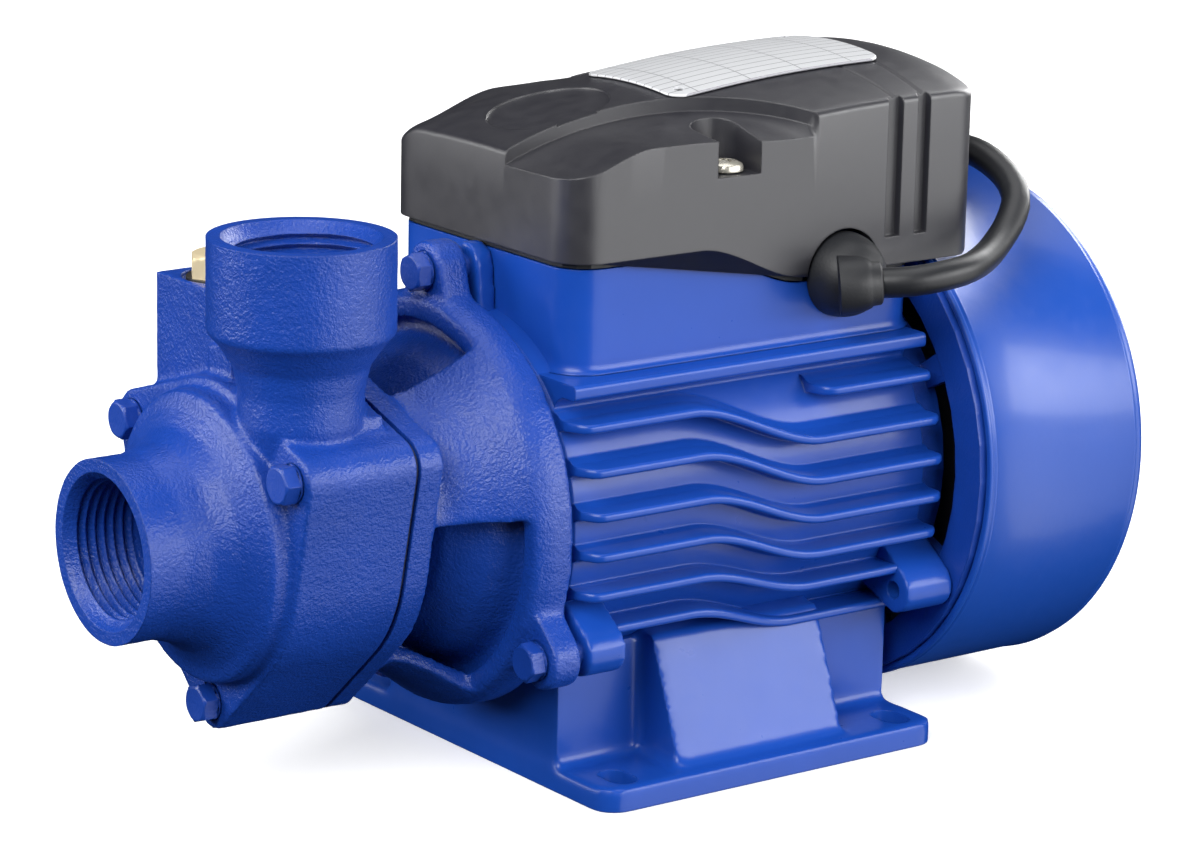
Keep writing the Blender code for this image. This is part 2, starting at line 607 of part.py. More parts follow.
def make_motor_frame():
    frame = cylinder("motor_frame", "X", shaft_line(), ROOT_RADIUS, FRAME_FRONT_X, FRAME_REAR_X, 48,
                     hidden=False)
    shelf = box("shelf", (FRAME_FRONT_X + 0.0010, -SHELF_HALF_WIDTH, SHELF_TOP_Z - 0.0030),
                (FRAME_REAR_X, SHELF_HALF_WIDTH, SHELF_TOP_Z))
    lugs = []
    for angle in EAR_ANGLES:
        top = angle == 90
        ends = (("front", FRAME_FRONT_X, -0.0474 if top else -0.0420, LUG_RADIUS, FRAME_FRONT_X),
                ("rear", 0.0400, SHIELD_RING_X - GAP, 0.0035 if top else LUG_RADIUS, 0.0400))
        for end, low, high, radius, root_low in ends:
            y, z = polar(EAR_CIRCLE_RADIUS, angle)
            lugs.append(cylinder(f"{end}_lug_{angle}", "X", (0, y, z), radius, low, high, 16))
            root = [polar(0.0425, angle - 9), polar(EAR_CIRCLE_RADIUS, angle - 5.5),
                    polar(EAR_CIRCLE_RADIUS, angle + 5.5), polar(0.0425, angle + 9)]
            root_high = min(high, FRAME_REAR_X) - 0.0001
            lugs.append(prism(f"{end}_lug_root_{angle}", "X", root, root_low + 0.0001, root_high))
    join(frame, [shelf] + make_frame_fins(-1) + make_frame_fins(1) + make_foot() + lugs)
    holes = []
    for angle in EAR_ANGLES:
        y, z = polar(EAR_CIRCLE_RADIUS, angle)
        holes.append(cylinder(f"front_lug_hole_{angle}", "X", (0, y, z), 0.0033, FRAME_FRONT_X - 0.004,
                              -0.0400, 12))
        holes.append(cylinder(f"rear_lug_hole_{angle}", "X", (0, y, z), 0.0022, 0.0380,
                              SHIELD_RING_X + 0.004, 12))
    cut(frame, [cylinder("frame_bore", "X", shaft_line(), BORE_RADIUS, FRAME_FRONT_X - 0.005,
                         FRAME_REAR_X + 0.005, 40),
                cylinder("wire_hole", "Z", (0.0330, 0, 0), 0.0060, 0.0900, 0.1200, 16)]
        + holes + foot_cutters())
    paint(smooth(frame), BLUE, 0.25)


def make_stator():
    core = [(BORE_RADIUS - GAP, STATOR_HALF_LENGTH), (BORE_RADIUS - GAP, -STATOR_HALF_LENGTH),
            (STATOR_BORE_RADIUS, -STATOR_HALF_LENGTH), (STATOR_BORE_RADIUS, STATOR_HALF_LENGTH),
            (BORE_RADIUS - GAP, STATOR_HALF_LENGTH)]
    paint(smooth(turned("stator_core", "X", shaft_line(), core, 32)), STEEL, 0.5, 0.8)
    for name, side in (("winding_front", -1), ("winding_rear", 1)):
        near = STATOR_HALF_LENGTH + GAP
        ring = [(0.0370, near), (0.0370, near + 0.0080), (0.0340, near + 0.0110),
                (0.0265, near + 0.0110), (0.0235, near + 0.0080), (0.0235, near)]
        ring = [(radius, side * x) for radius, x in ring]
        if side > 0:
            ring.reverse()
        ring.append(ring[0])
        paint(smooth(turned(name, "X", shaft_line(), ring, 24)), COPPER, 0.4, 0.9)


def make_rotor():
    core = [(ROTOR_RADIUS, STATOR_HALF_LENGTH), (ROTOR_RADIUS, -STATOR_HALF_LENGTH),
            (0.0160, -STATOR_HALF_LENGTH - 0.0060), (0.0093, -STATOR_HALF_LENGTH - 0.0060),
            (0.0093, STATOR_HALF_LENGTH + 0.0060), (0.0160, STATOR_HALF_LENGTH + 0.0060),
            (ROTOR_RADIUS, STATOR_HALF_LENGTH)]
    paint(smooth(turned("rotor_core", "X", shaft_line(), core, 24)), ALUMINIUM, 0.4, 0.9)
    shaft = [(0.0, 0.0900), (0.0045, 0.0900), (0.0050, 0.0895), (0.0050, 0.0500),
             (SHAFT_RADIUS, 0.0500), (SHAFT_RADIUS, 0.0380), (0.0075, 0.0380), (0.0075, 0.0340),
             (0.0090, 0.0340), (0.0090, -0.0340), (0.0075, -0.0340), (0.0075, -0.0540),
             (SHAFT_RADIUS, -0.0540), (SHAFT_RADIUS, -0.0912), (0.0050, -0.0930),
             (0.0050, -0.1070), (0.0030, -0.1074), (0.0030, -0.1130), (0.0, -0.1130)]
    rotor_shaft = turned("shaft", "X", shaft_line(), shaft, 16)
    cut(rotor_shaft, [box("key_seat", (-0.1068, -0.0013, SHAFT_Z + 0.0035),
                          (-0.0962, 0.0013, SHAFT_Z + 0.0100))])
    paint(smooth(rotor_shaft), STEEL, 0.25, 1.0)
    slinger = [(0.0125, -0.0806), (0.0125, -0.0816), (0.0095, -0.0824), (0.0063, -0.0824),
               (0.0063, -0.0799), (0.0095, -0.0799), (0.0125, -0.0806)]
    paint(smooth(turned("slinger", "X", shaft_line(), slinger, 24)), RUBBER, 0.7)


def make_bearing(stem, centre_x):
    """Outer ring, inner ring and the caged balls of a 12 x 32 x 10 mm deep-groove bearing."""
    half = BEARING_WIDTH / 2
    pitch = 0.0110
    groove = 0.0032
    outer = [(BEARING_RADIUS, centre_x + half), (BEARING_RADIUS, centre_x - half),
             (0.0133, centre_x - half), (0.0133, centre_x - 0.0020),
             (pitch + groove, centre_x), (0.0133, centre_x + 0.0020), (0.0133, centre_x + half),
             (BEARING_RADIUS, centre_x + half)]
    inner = [(0.0087, centre_x + half), (0.0087, centre_x + 0.0020), (pitch - groove, centre_x),
             (0.0087, centre_x - 0.0020), (0.0087, centre_x - half), (SHAFT_RADIUS + GAP, centre_x - half),
             (SHAFT_RADIUS + GAP, centre_x + half), (0.0087, centre_x + half)]
    paint(smooth(turned(f"{stem}_bearing_outer", "X", shaft_line(), outer, 20)), STEEL, 0.2, 1.0)
    paint(smooth(turned(f"{stem}_bearing_inner", "X", shaft_line(), inner, 20)), STEEL, 0.2, 1.0)
    cage = [(0.0117, centre_x + 0.0016), (0.0117, centre_x - 0.0016), (0.0103, centre_x - 0.0016),
            (0.0103, centre_x + 0.0016), (0.0117, centre_x + 0.0016)]
    balls = turned(f"{stem}_bearing_balls", "X", shaft_line(), cage, 21)
    spheres = []
    for number in range(7):
        y, z = polar(pitch, 360 * number / 7)

        def fill(shape):
            bmesh.ops.create_icosphere(shape, subdivisions=1, radius=0.0028)

        ball = primitive(f"{stem}_ball_{number}", fill, True)
        ball.location = (centre_x, y, z)
        spheres.append(ball)
    join(balls, spheres)
    paint(smooth(balls), STEEL, 0.15, 1.0)


def make_rear_end():
    """The end shield with its bearing seat and spoked ring, and the wave washer behind the bearing."""
    plate_rear = SHIELD_REAR_X - 0.0005
    body = [(0.0, plate_rear), (BORE_RADIUS + 0.0030, plate_rear), (BORE_RADIUS + 0.0030, 0.0503),
            (BORE_RADIUS - GAP, 0.0503), (BORE_RADIUS - GAP, 0.0465), (0.0200, 0.0465),
            (0.0190, 0.0388), (0.0, 0.0388)]
    shield = turned("rear_end_shield", "X", shaft_line(), body, 32)
    ring = [(0.0588, SHIELD_REAR_X), (0.0588, SHIELD_RING_X), (0.0500, SHIELD_RING_X),
            (0.0500, SHIELD_REAR_X), (0.0588, SHIELD_REAR_X)]
    spokes = []
    for angle in (30, 90, 150, 210, 270, 330):
        half = 6.5 if angle in EAR_ANGLES else 4.0
        outline = [polar(0.0415, angle - half), polar(0.0520, angle - half),
                   polar(0.0520, angle + half), polar(0.0415, angle + half)]
        spokes.append(prism(f"spoke_{angle}", "X", outline, SHIELD_RING_X + 0.0003,
                            SHIELD_REAR_X - 0.0003))
    join(shield, [turned("shield_ring", "X", shaft_line(), ring, 40, hidden=True)] + spokes)
    holes = [cylinder(f"shield_hole_{angle}", "X", (0, *polar(EAR_CIRCLE_RADIUS, angle)), 0.0028,
                      SHIELD_RING_X - 0.002, SHIELD_REAR_X + 0.002, 12) for angle in EAR_ANGLES]
    cut(shield, holes + [
        cylinder("rear_bearing_seat", "X", shaft_line(), BEARING_RADIUS + GAP, 0.0370, 0.0508, 24),
        cylinder("rear_shaft_hole", "X", shaft_line(), 0.0058, 0.0400, 0.0600, 16),
    ])
    paint(smooth(shield), BLUE, 0.35)
    spring_low, spring_high = 0.0493, 0.0505
    spring = [(0.0150, spring_high), (0.0150, spring_low), (0.0118, spring_low), (0.0118, spring_high),
              (0.0150, spring_high)]
    paint(smooth(turned("bearing_spring", "X", shaft_line(), spring, 24)), STEEL, 0.3, 1.0)
    fixing = make_hex_bolt("end_shield_bolt", 0.0070, 0.0030, 0.0019, 0.0120)
    fixing.transform(Matrix.Rotation(math.pi, 4, "Z"))
    add_bolts("end_shield_bolt", fixing, SHIELD_REAR_X + GAP, EAR_CIRCLE_RADIUS, EAR_ANGLES, STEEL)


def make_fan():
    hub = [(0.0, 0.0860), (0.0100, 0.0860), (0.0110, 0.0720), (0.0470, 0.0700), (0.0470, 0.0680),
           (0.0110, 0.0680), (0.0100, 0.0640), (0.0, 0.0640)]
    fan = turned("fan", "X", shaft_line(), hub, 28)
    blades = []
    for number in range(7):
        blade = box(f"fan_blade_{number}", (0.0690, 0.0090, -0.0010), (0.0860, FAN_RADIUS, 0.0010))
        spin = Matrix.Rotation(2 * math.pi * number / 7, 4, "X")
        blade.matrix_world = Matrix.Translation(shaft_line()) @ spin @ Matrix.Translation(blade.location)
        blades.append(blade)
    join(fan, blades)
    cut(fan, [cylinder("fan_bore", "X", shaft_line(), 0.0053, 0.0600, 0.0900, 20)])
    paint(smooth(fan), WHITE_PLASTIC, 0.5)
    clip = [(0.0078, 0.0874), (0.0078, 0.0864), (0.0053, 0.0864), (0.0053, 0.0874), (0.0078, 0.0874)]
    paint(smooth(turned("fan_clip", "X", shaft_line(), clip, 20)), STEEL, 0.3, 1.0)


def make_fan_cover():
    """A drawn steel cup, with a rounded rear edge and slots in its rear wall for the cooling air."""
    outer = [(0.0, FAN_COVER_REAR_X), (0.0545, FAN_COVER_REAR_X), (0.0590, FAN_COVER_REAR_X - 0.0018),
             (FAN_COVER_RADIUS, FAN_COVER_REAR_X - 0.0060), (FAN_COVER_RADIUS, FAN_COVER_FRONT_X)]
    inner = [(FAN_COVER_RADIUS - SHEET, FAN_COVER_FRONT_X),
             (FAN_COVER_RADIUS - SHEET, FAN_COVER_REAR_X - 0.0062),
             (0.0578, FAN_COVER_REAR_X - SHEET - 0.0016), (0.0545, FAN_COVER_REAR_X - SHEET),
             (0.0, FAN_COVER_REAR_X - SHEET)]
    cover = turned("fan_cover", "X", shaft_line(), outer + inner, 48)
    slots = []
    for number in range(12):
        angle = 2 * math.pi * number / 12 + math.radians(15)
        slot = box(f"air_slot_{number}", (0.1000, 0.0160, -0.0022), (0.1100, 0.0450, 0.0022))
        spin = Matrix.Rotation(angle, 4, "X")
        slot.matrix_world = Matrix.Translation(shaft_line()) @ spin @ Matrix.Translation(slot.location)
        slots.append(slot)
    cut(cover, slots)
    paint(smooth(cover), BLUE, 0.3)


# --- Terminal box ----------------------------------------------------------------------------------

def skirt_z(x):
    """Height of the cover's lower edge, which steps down towards the fan."""
    way = (x - STEP_START_X) / (STEP_END_X - STEP_START_X)
    return COVER_FRONT_Z + (COVER_REAR_Z - COVER_FRONT_Z) * smoothstep(way)


def skirt_stations(start, end):
    stations = [start]
    for step in range(7):
        stations.append(STEP_START_X + (STEP_END_X - STEP_START_X) * step / 6)
    stations.append(end)
    return stations


def lowered_top(name, drop):
    """Everything above the skirt line less a drop: trims the steel base and its gasket."""
    low = [(x, skirt_z(x) - drop) for x in skirt_stations(-0.080, 0.090)]
    return prism(name, "Y", low + [(0.090, 0.180), (-0.080, 0.180)], -0.060, 0.060)


def box_plan(inset):
    return rounded_rectangle((BOX_FRONT_X + inset, -BOX_HALF_WIDTH + inset),
                             (BOX_REAR_X - inset, BOX_HALF_WIDTH - inset), 0.0085 - inset, 4)


def make_terminal_base():
    drop = BOX_GASKET + 2 * GAP
    base = prism("terminal_box_base", "Z", box_plan(0.0), BOX_BOTTOM_Z, 0.1400, hidden=False)
    screw_posts = [cylinder(f"screw_post_{side}", "Z", (COVER_SCREW_X, side * COVER_SCREW_Y, 0), 0.0045,
                            0.1000, 0.1400, 12) for side in (-1, 1)]
    screw_ribs = [box(f"screw_rib_{side}", (COVER_SCREW_X - 0.0015, min(side * 0.0290, side * 0.0350), 0.1),
                      (COVER_SCREW_X + 0.0015, max(side * 0.0290, side * 0.0350), 0.1400))
                  for side in (-1, 1)]
    cut(base, [prism("base_inside", "Z", box_plan(SHEET), 0.0900, 0.1500)])
    join(base, screw_posts + screw_ribs)
    cut(base, [lowered_top("base_top", drop)]
        + [cylinder(f"post_hole_{side}", "Z", (COVER_SCREW_X, side * COVER_SCREW_Y, 0), 0.0021, 0.1020,
                    0.1500, 10) for side in (-1, 1)]
        + [cylinder("root_clearance", "X", shaft_line(), ROOT_RADIUS + GAP, -0.0600, 0.0600, 64),
           cylinder("gland_hole", "Y", (GLAND_X, 0, GLAND_Z), 0.0062, -0.0400, -0.0300, 20)])
    paint(smooth(base), BLUE, 0.25)
    gasket = prism("terminal_box_gasket", "Z", box_plan(0.0), 0.1000, 0.1400, hidden=False)
    lower = [(x, skirt_z(x) - drop + GAP) for x in skirt_stations(-0.080, 0.090)]
    under = prism("gasket_under", "Y", lower + [(0.090, 0.090), (-0.080, 0.090)], -0.060, 0.060)
    cut(gasket, [prism("gasket_inside", "Z", box_plan(0.0022), 0.0900, 0.1500),
                 lowered_top("gasket_top", GAP), under,
                 cylinder("gasket_gland_gap", "Y", (GLAND_X, 0, GLAND_Z), 0.0110, -0.0500, -0.0300, 20)])
    paint(smooth(gasket), RUBBER, 0.8)


def cover_plan(inset):
    """The cover seen from above: flat front and sides, and a bowed rear."""
    half = COVER_HALF_WIDTH - inset
    front = COVER_FRONT_X + inset
    corner = 0.0090 - inset
    side_rear = COVER_SIDE_REAR_X
    rear_corner = 0.0080 - inset
    points = arc((front + corner, half - corner), corner, 90, 180, 4)
    points += arc((front + corner, -half + corner), corner, 180, 270, 4)
    points += arc((side_rear, -half + rear_corner), rear_corner, 270, 345, 4)
    bow = COVER_REAR_X - inset
    for step in range(1, 6):
        y = (-1 + step / 3) * 0.0250
        points.append((bow - 0.0030 * (y / 0.0250) ** 2, y))
    points += arc((side_rear, half - rear_corner), rear_corner, 15, 90, 4)
    return points


def cover_top_z(x, y):
    """The cover's top: it rises along the box and is crowned across it."""
    rise = (max(COVER_PEAK_X - x, 0.0) / (COVER_PEAK_X - COVER_FRONT_X)) ** 2.4
    middle = COVER_TOP_Z - COVER_RISE * rise - COVER_REAR_CURVE * max(x - COVER_PEAK_X, 0.0) ** 2
    crown = 0.0015 + 0.0050 * smoothstep((x + 0.0380) / 0.045)
    return middle - crown * (y / COVER_HALF_WIDTH) ** 2


def above_cover_top(name, drop):
    """A block whose underside is the cover's top surface, lowered by a drop."""

    def fill(shape):
        bmesh.ops.create_grid(shape, x_segments=12, y_segments=8, size=0.5)
        for vertex in shape.verts:
            vertex.co.x = 0.0130 + vertex.co.x * 0.1400
            vertex.co.y = vertex.co.y * 0.1000
            vertex.co.z = cover_top_z(vertex.co.x, vertex.co.y) - drop
        sides = bmesh.ops.extrude_face_region(shape, geom=list(shape.faces))
        for item in sides["geom"]:
            if isinstance(item, bmesh.types.BMVert):
                item.co.z = 0.1900
        bmesh.ops.recalc_face_normals(shape, faces=shape.faces)

    return primitive(name, fill, True)


def make_terminal_cover():
    cover = prism("terminal_box_cover", "Z", cover_plan(0.0), 0.1000, 0.1700, hidden=False)
    skirt = [(x, skirt_z(x)) for x in skirt_stations(-0.080, 0.090)]
    below = prism("cover_below", "Y", skirt + [(0.090, 0.080), (-0.080, 0.080)], -0.060, 0.060)
    inside = prism("cover_inside", "Z", cover_plan(COVER_WALL), 0.0900, 0.1800)
    cut(inside, [above_cover_top("cover_roof", COVER_WALL)])
    ledge = [(-0.060, -0.050), (0.0205, -0.050), (0.0205, -0.0370)]
    ledge += arc((-0.0350, -0.0782), 0.0687, 37, 90, 6)
    ledge.append((-0.060, -0.0095))
    ledge_block = prism("cover_ledge", "Z", ledge, 0.1300, 0.1700)
    ledge_floor = prism("cover_ledge_floor", "Z", [(-0.07, -0.06), (0.03, -0.06), (0.03, 0.01),
                                                   (-0.07, 0.01)], 0.1000, 0.1650)
    cut(ledge_floor, [above_cover_top("cover_ledge_roof", 0.0014)])
    cut(ledge_block, [ledge_floor])
    pockets = []
    bosses = []
    for side in (-1, 1):
        centre = (COVER_SCREW_X, side * COVER_SCREW_Y)
        reach = [(centre[0] - 0.0060, side * 0.050), (centre[0] + 0.0060, side * 0.050)]
        if side < 0:
            slot = reach + arc(centre, 0.0060, 0, 180, 8)
            wall = reach + arc(centre, 0.0080, -15, 195, 8)
        else:
            slot = reach[::-1] + arc(centre, 0.0060, 180, 360, 8)
            wall = reach[::-1] + arc(centre, 0.0080, 165, 375, 8)
        pockets.append(prism(f"screw_pocket_{side}", "Z", slot, 0.1380, 0.1700))
        boss = prism(f"screw_boss_{side}", "Z", wall, 0.1355, 0.1560)
        combine(boss, "INTERSECT", [prism(f"boss_trim_{side}", "Z", cover_plan(0.0004), 0.1300, 0.1700)])
        cut(boss, [above_cover_top(f"boss_roof_{side}", 0.0010)])
        bosses.append(boss)
    cut(cover, [below, inside])
    cut(cover, [above_cover_top("cover_top", 0.0)])
    join(cover, bosses)
    cut(cover, [ledge_block] + pockets + [
        cylinder(f"cover_screw_hole_{side}", "Z", (COVER_SCREW_X, side * COVER_SCREW_Y, 0), 0.0024,
                 0.1300, 0.1450, 10) for side in (-1, 1)] + [
        cylinder("gland_cutout", "Y", (GLAND_X, 0, GLAND_Z), 0.0108, -0.0500, -0.0300, 24),
        cylinder("fan_cover_clearance", "X", shaft_line(), FAN_COVER_RADIUS + 0.0008, 0.0540, 0.0900, 64)])
    paint(smooth(cover), BLACK_PLASTIC, 0.45)


def make_cover_screws():
    profile = [(0.0, 0.1408), (0.0025, 0.1408), (0.0038, 0.1400), (0.0038, 0.1383), (0.0018, 0.1383),
               (0.0018, 0.1120), (0.0, 0.1110)]
    for number, side in enumerate((-1, 1), 1):
        centre = (COVER_SCREW_X, side * COVER_SCREW_Y, 0.0)
        paint(smooth(turned(f"cover_screw_{number}", "Z", centre, profile, 16)), STEEL, 0.25, 1.0)


def make_nameplate():
    """A thin metal plate that follows the top of the cover, with a gap under it."""
    plate = prism("nameplate", "Z", rounded_rectangle((-0.0065, -0.0180), (0.0545, 0.0180), 0.0040, 2),
                  0.1400, 0.1750, hidden=False)
    below = prism("nameplate_below", "Z", rounded_rectangle((-0.02, -0.03), (0.07, 0.03), 0.004, 1),
                  0.1300, 0.1700)
    cut(below, [above_cover_top("nameplate_bed", -GAP)])
    cut(plate, [above_cover_top("nameplate_face", -GAP - 0.0006), below])
    paint(smooth(plate), ALUMINIUM, 0.35, 0.8)


def make_electrics():
    """The run capacitor and the terminal block, above the motor frame inside the terminal box."""
    can = [(0.0, -0.0020), (0.0125, -0.0020), (0.0140, -0.0035), (0.0140, -0.0400),
           (0.0125, -0.0415), (0.0, -0.0415)]
    capacitor = turned("capacitor", "X", (0, 0.0050, 0.1235), can, 24)
    paint(smooth(capacitor), WHITE_PLASTIC, 0.4)
    block = box("terminal_block", (0.0060, -0.0150, 0.1190), (0.0360, 0.0150, 0.1270), hidden=False)
    channels = [box(f"terminal_channel_{n}", (0.0090 + 0.009 * n, -0.0100, 0.1240),
                    (0.0150 + 0.009 * n, 0.0100, 0.1290)) for n in range(3)]
    cut(block, channels)
    paint(block, WHITE_PLASTIC, 0.5)


# --- Gland and cord ----------------------------------------------------------------------------------

CORD_POINTS = (
    (0.0303, -0.0493, 0.1120), (0.0327, -0.0514, 0.1122), (0.0364, -0.0538, 0.1126),
    (0.0420, -0.0553, 0.1132), (0.0510, -0.0545, 0.1138), (0.0600, -0.0505, 0.1148),
    (0.0680, -0.0462, 0.1172), (0.0750, -0.0423, 0.1208), (0.0803, -0.0378, 0.1250),
    (0.0828, -0.0305, 0.1290), (0.0833, -0.0200, 0.1322), (0.0833, -0.0080, 0.1322),
    (0.0830, 0.0050, 0.1300), (0.0827, 0.0190, 0.1250), (0.0825, 0.0335, 0.1182),
    (0.0822, 0.0465, 0.1075), (0.0820, 0.0565, 0.0940), (0.0818, 0.0630, 0.0780),
    (0.0816, 0.0655, 0.0610), (0.0815, 0.0665, 0.0440), (0.0815, 0.0690, 0.0270),
    (0.0812, 0.0755, 0.0120), (0.0805, 0.0860, 0.0048), (0.0785, 0.0980, 0.0037),
    (0.0752, 0.1090, 0.0037),
)
TAIL_POINTS = (
    (0.0040, 0.1685, 0.0105), (-0.0080, 0.1700, 0.0110), (-0.0190, 0.1690, 0.0120),
    (-0.0290, 0.1650, 0.0135), (-0.0370, 0.1580, 0.0152), (-0.0420, 0.1480, 0.0166),
    (-0.0438, 0.1400, 0.0171), (PLUG_X, PLUG_PIN_FACE_Y + PLUG_LENGTH + GAP, 0.0173),
)


def smooth_route(points, spacing):
    """Even steps along a Catmull-Rom curve through the points."""
    knots = [Vector(point) for point in points]
    knots = [2 * knots[0] - knots[1]] + knots + [2 * knots[-1] - knots[-2]]
    fine = []
    for a, b, c, d in zip(knots, knots[1:], knots[2:], knots[3:]):
        for step in range(24):
            t = step / 24
            fine.append(0.5 * (2 * b + (c - a) * t + (2 * a - 5 * b + 4 * c - d) * t * t
                               + (3 * b - a - 3 * c + d) * t ** 3))
    fine.append(knots[-2])
    length = sum((b - a).length for a, b in zip(fine, fine[1:]))
    count = max(round(length / spacing), 2)
    route = [fine[0]]
    travelled = 0.0
    for a, b in zip(fine, fine[1:]):
        step = (b - a).length
        while len(route) < count and travelled + step >= length * len(route) / count:
            share = (length * len(route) / count - travelled) / step
            route.append(a.lerp(b, share))
        travelled += step
    route.append(fine[-1])
    return route


def tube(name, points, radius, colour):
    curve = bpy.data.curves.new(name, "CURVE")
    curve.dimensions = "3D"
    curve.bevel_depth = radius
    curve.bevel_resolution = 2
    curve.use_fill_caps = True
    spline = curve.splines.new("POLY")
    spline.points.add(len(points) - 1)
    for point, where in zip(spline.points, points):
        point.co = (*where, 1.0)
    thing = add_object(name, curve)
    bpy.context.view_layer.update()
    paint(smooth(thing, 60), colour, 0.6)


def make_gland():
    """A domed rubber gland on the box wall, with a short tapered sleeve that turns to the fan end."""
    wall = BOX_HALF_WIDTH + GAP
    dome = [(0.0, wall + 0.0105), (0.0045, wall + 0.0100), (0.0078, wall + 0.0075),
            (0.0096, wall + 0.0040), (0.0100, wall), (0.0058, wall), (0.0058, wall - 0.0060),
            (0.0, wall - 0.0060)]
    gland = turned("cable_gland", "Y", (GLAND_X, 0, GLAND_Z), dome, 28)
    sleeve = cylinder("gland_sleeve", "Z", (0, 0, 0), 0.0062, -SLEEVE_LENGTH, 0.0, 20, end_radius=0.0046)
    start, second = smooth_route(CORD_POINTS, CORD_SPACING)[:2]
    along = (second - start).normalized()
    turn = Vector((0, 0, 1)).rotation_difference(along).to_matrix().to_4x4()
    tip = start - along * GAP
    sleeve.matrix_world = Matrix.Translation(tip) @ turn @ sleeve.matrix_world
    join(gland, [sleeve])
    paint(smooth(gland), RUBBER, 0.6)


def make_cord():
    tube("cord", smooth_route(CORD_POINTS, CORD_SPACING), CORD_RADIUS, RUBBER)
    tube("cord_tail", smooth_route(TAIL_POINTS, CORD_SPACING), CORD_RADIUS, RUBBER)
    x, y = COIL_CENTRE
    ring = [(COIL_OUTER_RADIUS, COIL_HEIGHT), (COIL_OUTER_RADIUS, GAP), (COIL_INNER_RADIUS, GAP),
            (COIL_INNER_RADIUS, COIL_HEIGHT), (COIL_OUTER_RADIUS, COIL_HEIGHT)]
    paint(smooth(turned("cord_coil", "Z", (x, y, 0), ring, 36)), RUBBER, 0.6)


def make_plug():
    """A moulded two-pin plug lying on the floor beside the coil, its pins towards -Y."""
    centre = (PLUG_X, 0.0, PLUG_RADIUS + GAP)
    body = [(0.0, -PLUG_PIN_FACE_Y), (PLUG_RADIUS, -PLUG_PIN_FACE_Y),
            (PLUG_RADIUS, -PLUG_PIN_FACE_Y - 0.0200), (0.0110, -PLUG_PIN_FACE_Y - 0.0280),
            (0.0075, -PLUG_PIN_FACE_Y - 0.0400), (0.0045, -PLUG_PIN_FACE_Y - PLUG_LENGTH),
            (0.0, -PLUG_PIN_FACE_Y - PLUG_LENGTH)]
    plug = turned("mains_plug", "Y", centre, body, 24)
    pins = [cylinder(f"plug_pin_{side}", "Y", (PLUG_X + side * 0.0095, 0, PLUG_RADIUS + GAP), 0.0024,
                     PLUG_PIN_FACE_Y - 0.0190, PLUG_PIN_FACE_Y + 0.0020, 10) for side in (-1, 1)]
    join(plug, pins)
    paint(smooth(plug), RUBBER, 0.5)


clear_scene()
PUMP = make_collection("centrifugal_water_pump")
HELPERS = make_collection("helpers")
make_casing()
add_bolts("casing_bolt", make_hex_bolt("casing_bolt", 0.0080, 0.0040, 0.0024, 0.0320),
          FLANGE_FRONT_X - GAP, LOBE_CIRCLE_RADIUS, LOBE_ANGLES, BLUE)
make_casing_seal()
make_priming_plug()
make_impeller()
make_shaft_seal()
make_bracket()
add_bolts("bracket_bolt", make_hex_bolt("bracket_bolt", 0.0100, 0.0050, 0.0029, 0.0135),
          RIM_FRONT_X - GAP, EAR_CIRCLE_RADIUS, EAR_ANGLES, BLUE)
make_motor_frame()
make_stator()
make_rotor()
make_bearing("front", FRONT_BEARING_X)
make_bearing("rear", REAR_BEARING_X)
make_rear_end()
make_fan()
make_fan_cover()
make_terminal_base()
make_terminal_cover()
make_cover_screws()
make_nameplate()
make_electrics()
make_gland()
make_cord()
make_plug()
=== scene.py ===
"""The looks of the centrifugal water pump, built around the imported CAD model.

Metres, +Z up, the shaft along X. Cast parts are fused from overlapping solids by a voxel remesh, which
rounds their edges and fills their corners as a mould does; their faces, bores and threads are cut after it.
"""

import json
import math

import bmesh
import bpy
from mathutils import Matrix, Vector, noise


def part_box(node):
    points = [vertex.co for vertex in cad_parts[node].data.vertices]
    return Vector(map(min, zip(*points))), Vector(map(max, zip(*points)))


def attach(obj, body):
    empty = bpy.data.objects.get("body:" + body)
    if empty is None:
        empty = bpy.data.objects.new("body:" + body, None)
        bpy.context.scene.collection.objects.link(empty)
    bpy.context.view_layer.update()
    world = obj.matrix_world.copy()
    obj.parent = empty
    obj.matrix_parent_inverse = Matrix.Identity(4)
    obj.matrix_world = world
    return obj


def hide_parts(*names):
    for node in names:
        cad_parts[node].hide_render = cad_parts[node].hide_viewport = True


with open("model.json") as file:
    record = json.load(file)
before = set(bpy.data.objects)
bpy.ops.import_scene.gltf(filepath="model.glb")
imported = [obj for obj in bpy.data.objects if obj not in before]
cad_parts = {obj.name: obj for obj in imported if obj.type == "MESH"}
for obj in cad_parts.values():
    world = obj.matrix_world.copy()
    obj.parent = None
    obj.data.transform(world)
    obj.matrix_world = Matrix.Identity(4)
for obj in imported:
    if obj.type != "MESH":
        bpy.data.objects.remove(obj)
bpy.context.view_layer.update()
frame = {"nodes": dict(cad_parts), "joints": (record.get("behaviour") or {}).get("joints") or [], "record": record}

# Boxes, axes and ports from the frame
JOINTS = {joint["name"]: joint for joint in frame["joints"]}
MOUNTS = {mount["name"]: mount for mount in frame["record"]["mounts"]}
BRACKET_LOW, BRACKET_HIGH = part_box("bracket")
FAN_COVER_LOW, FAN_COVER_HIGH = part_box("fan_cover")
BASE_LOW, BASE_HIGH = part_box("terminal_box_base")
COVER_LOW, COVER_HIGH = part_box("terminal_box_cover")
PLATE_LOW, PLATE_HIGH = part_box("nameplate")
PLUG_LOW, PLUG_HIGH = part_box("mains_plug")
COIL_LOW, COIL_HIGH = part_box("cord_coil")
FILLER_LOW, FILLER_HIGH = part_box("priming_plug")
SCREW_LOW, SCREW_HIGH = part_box("cover_screw_1")

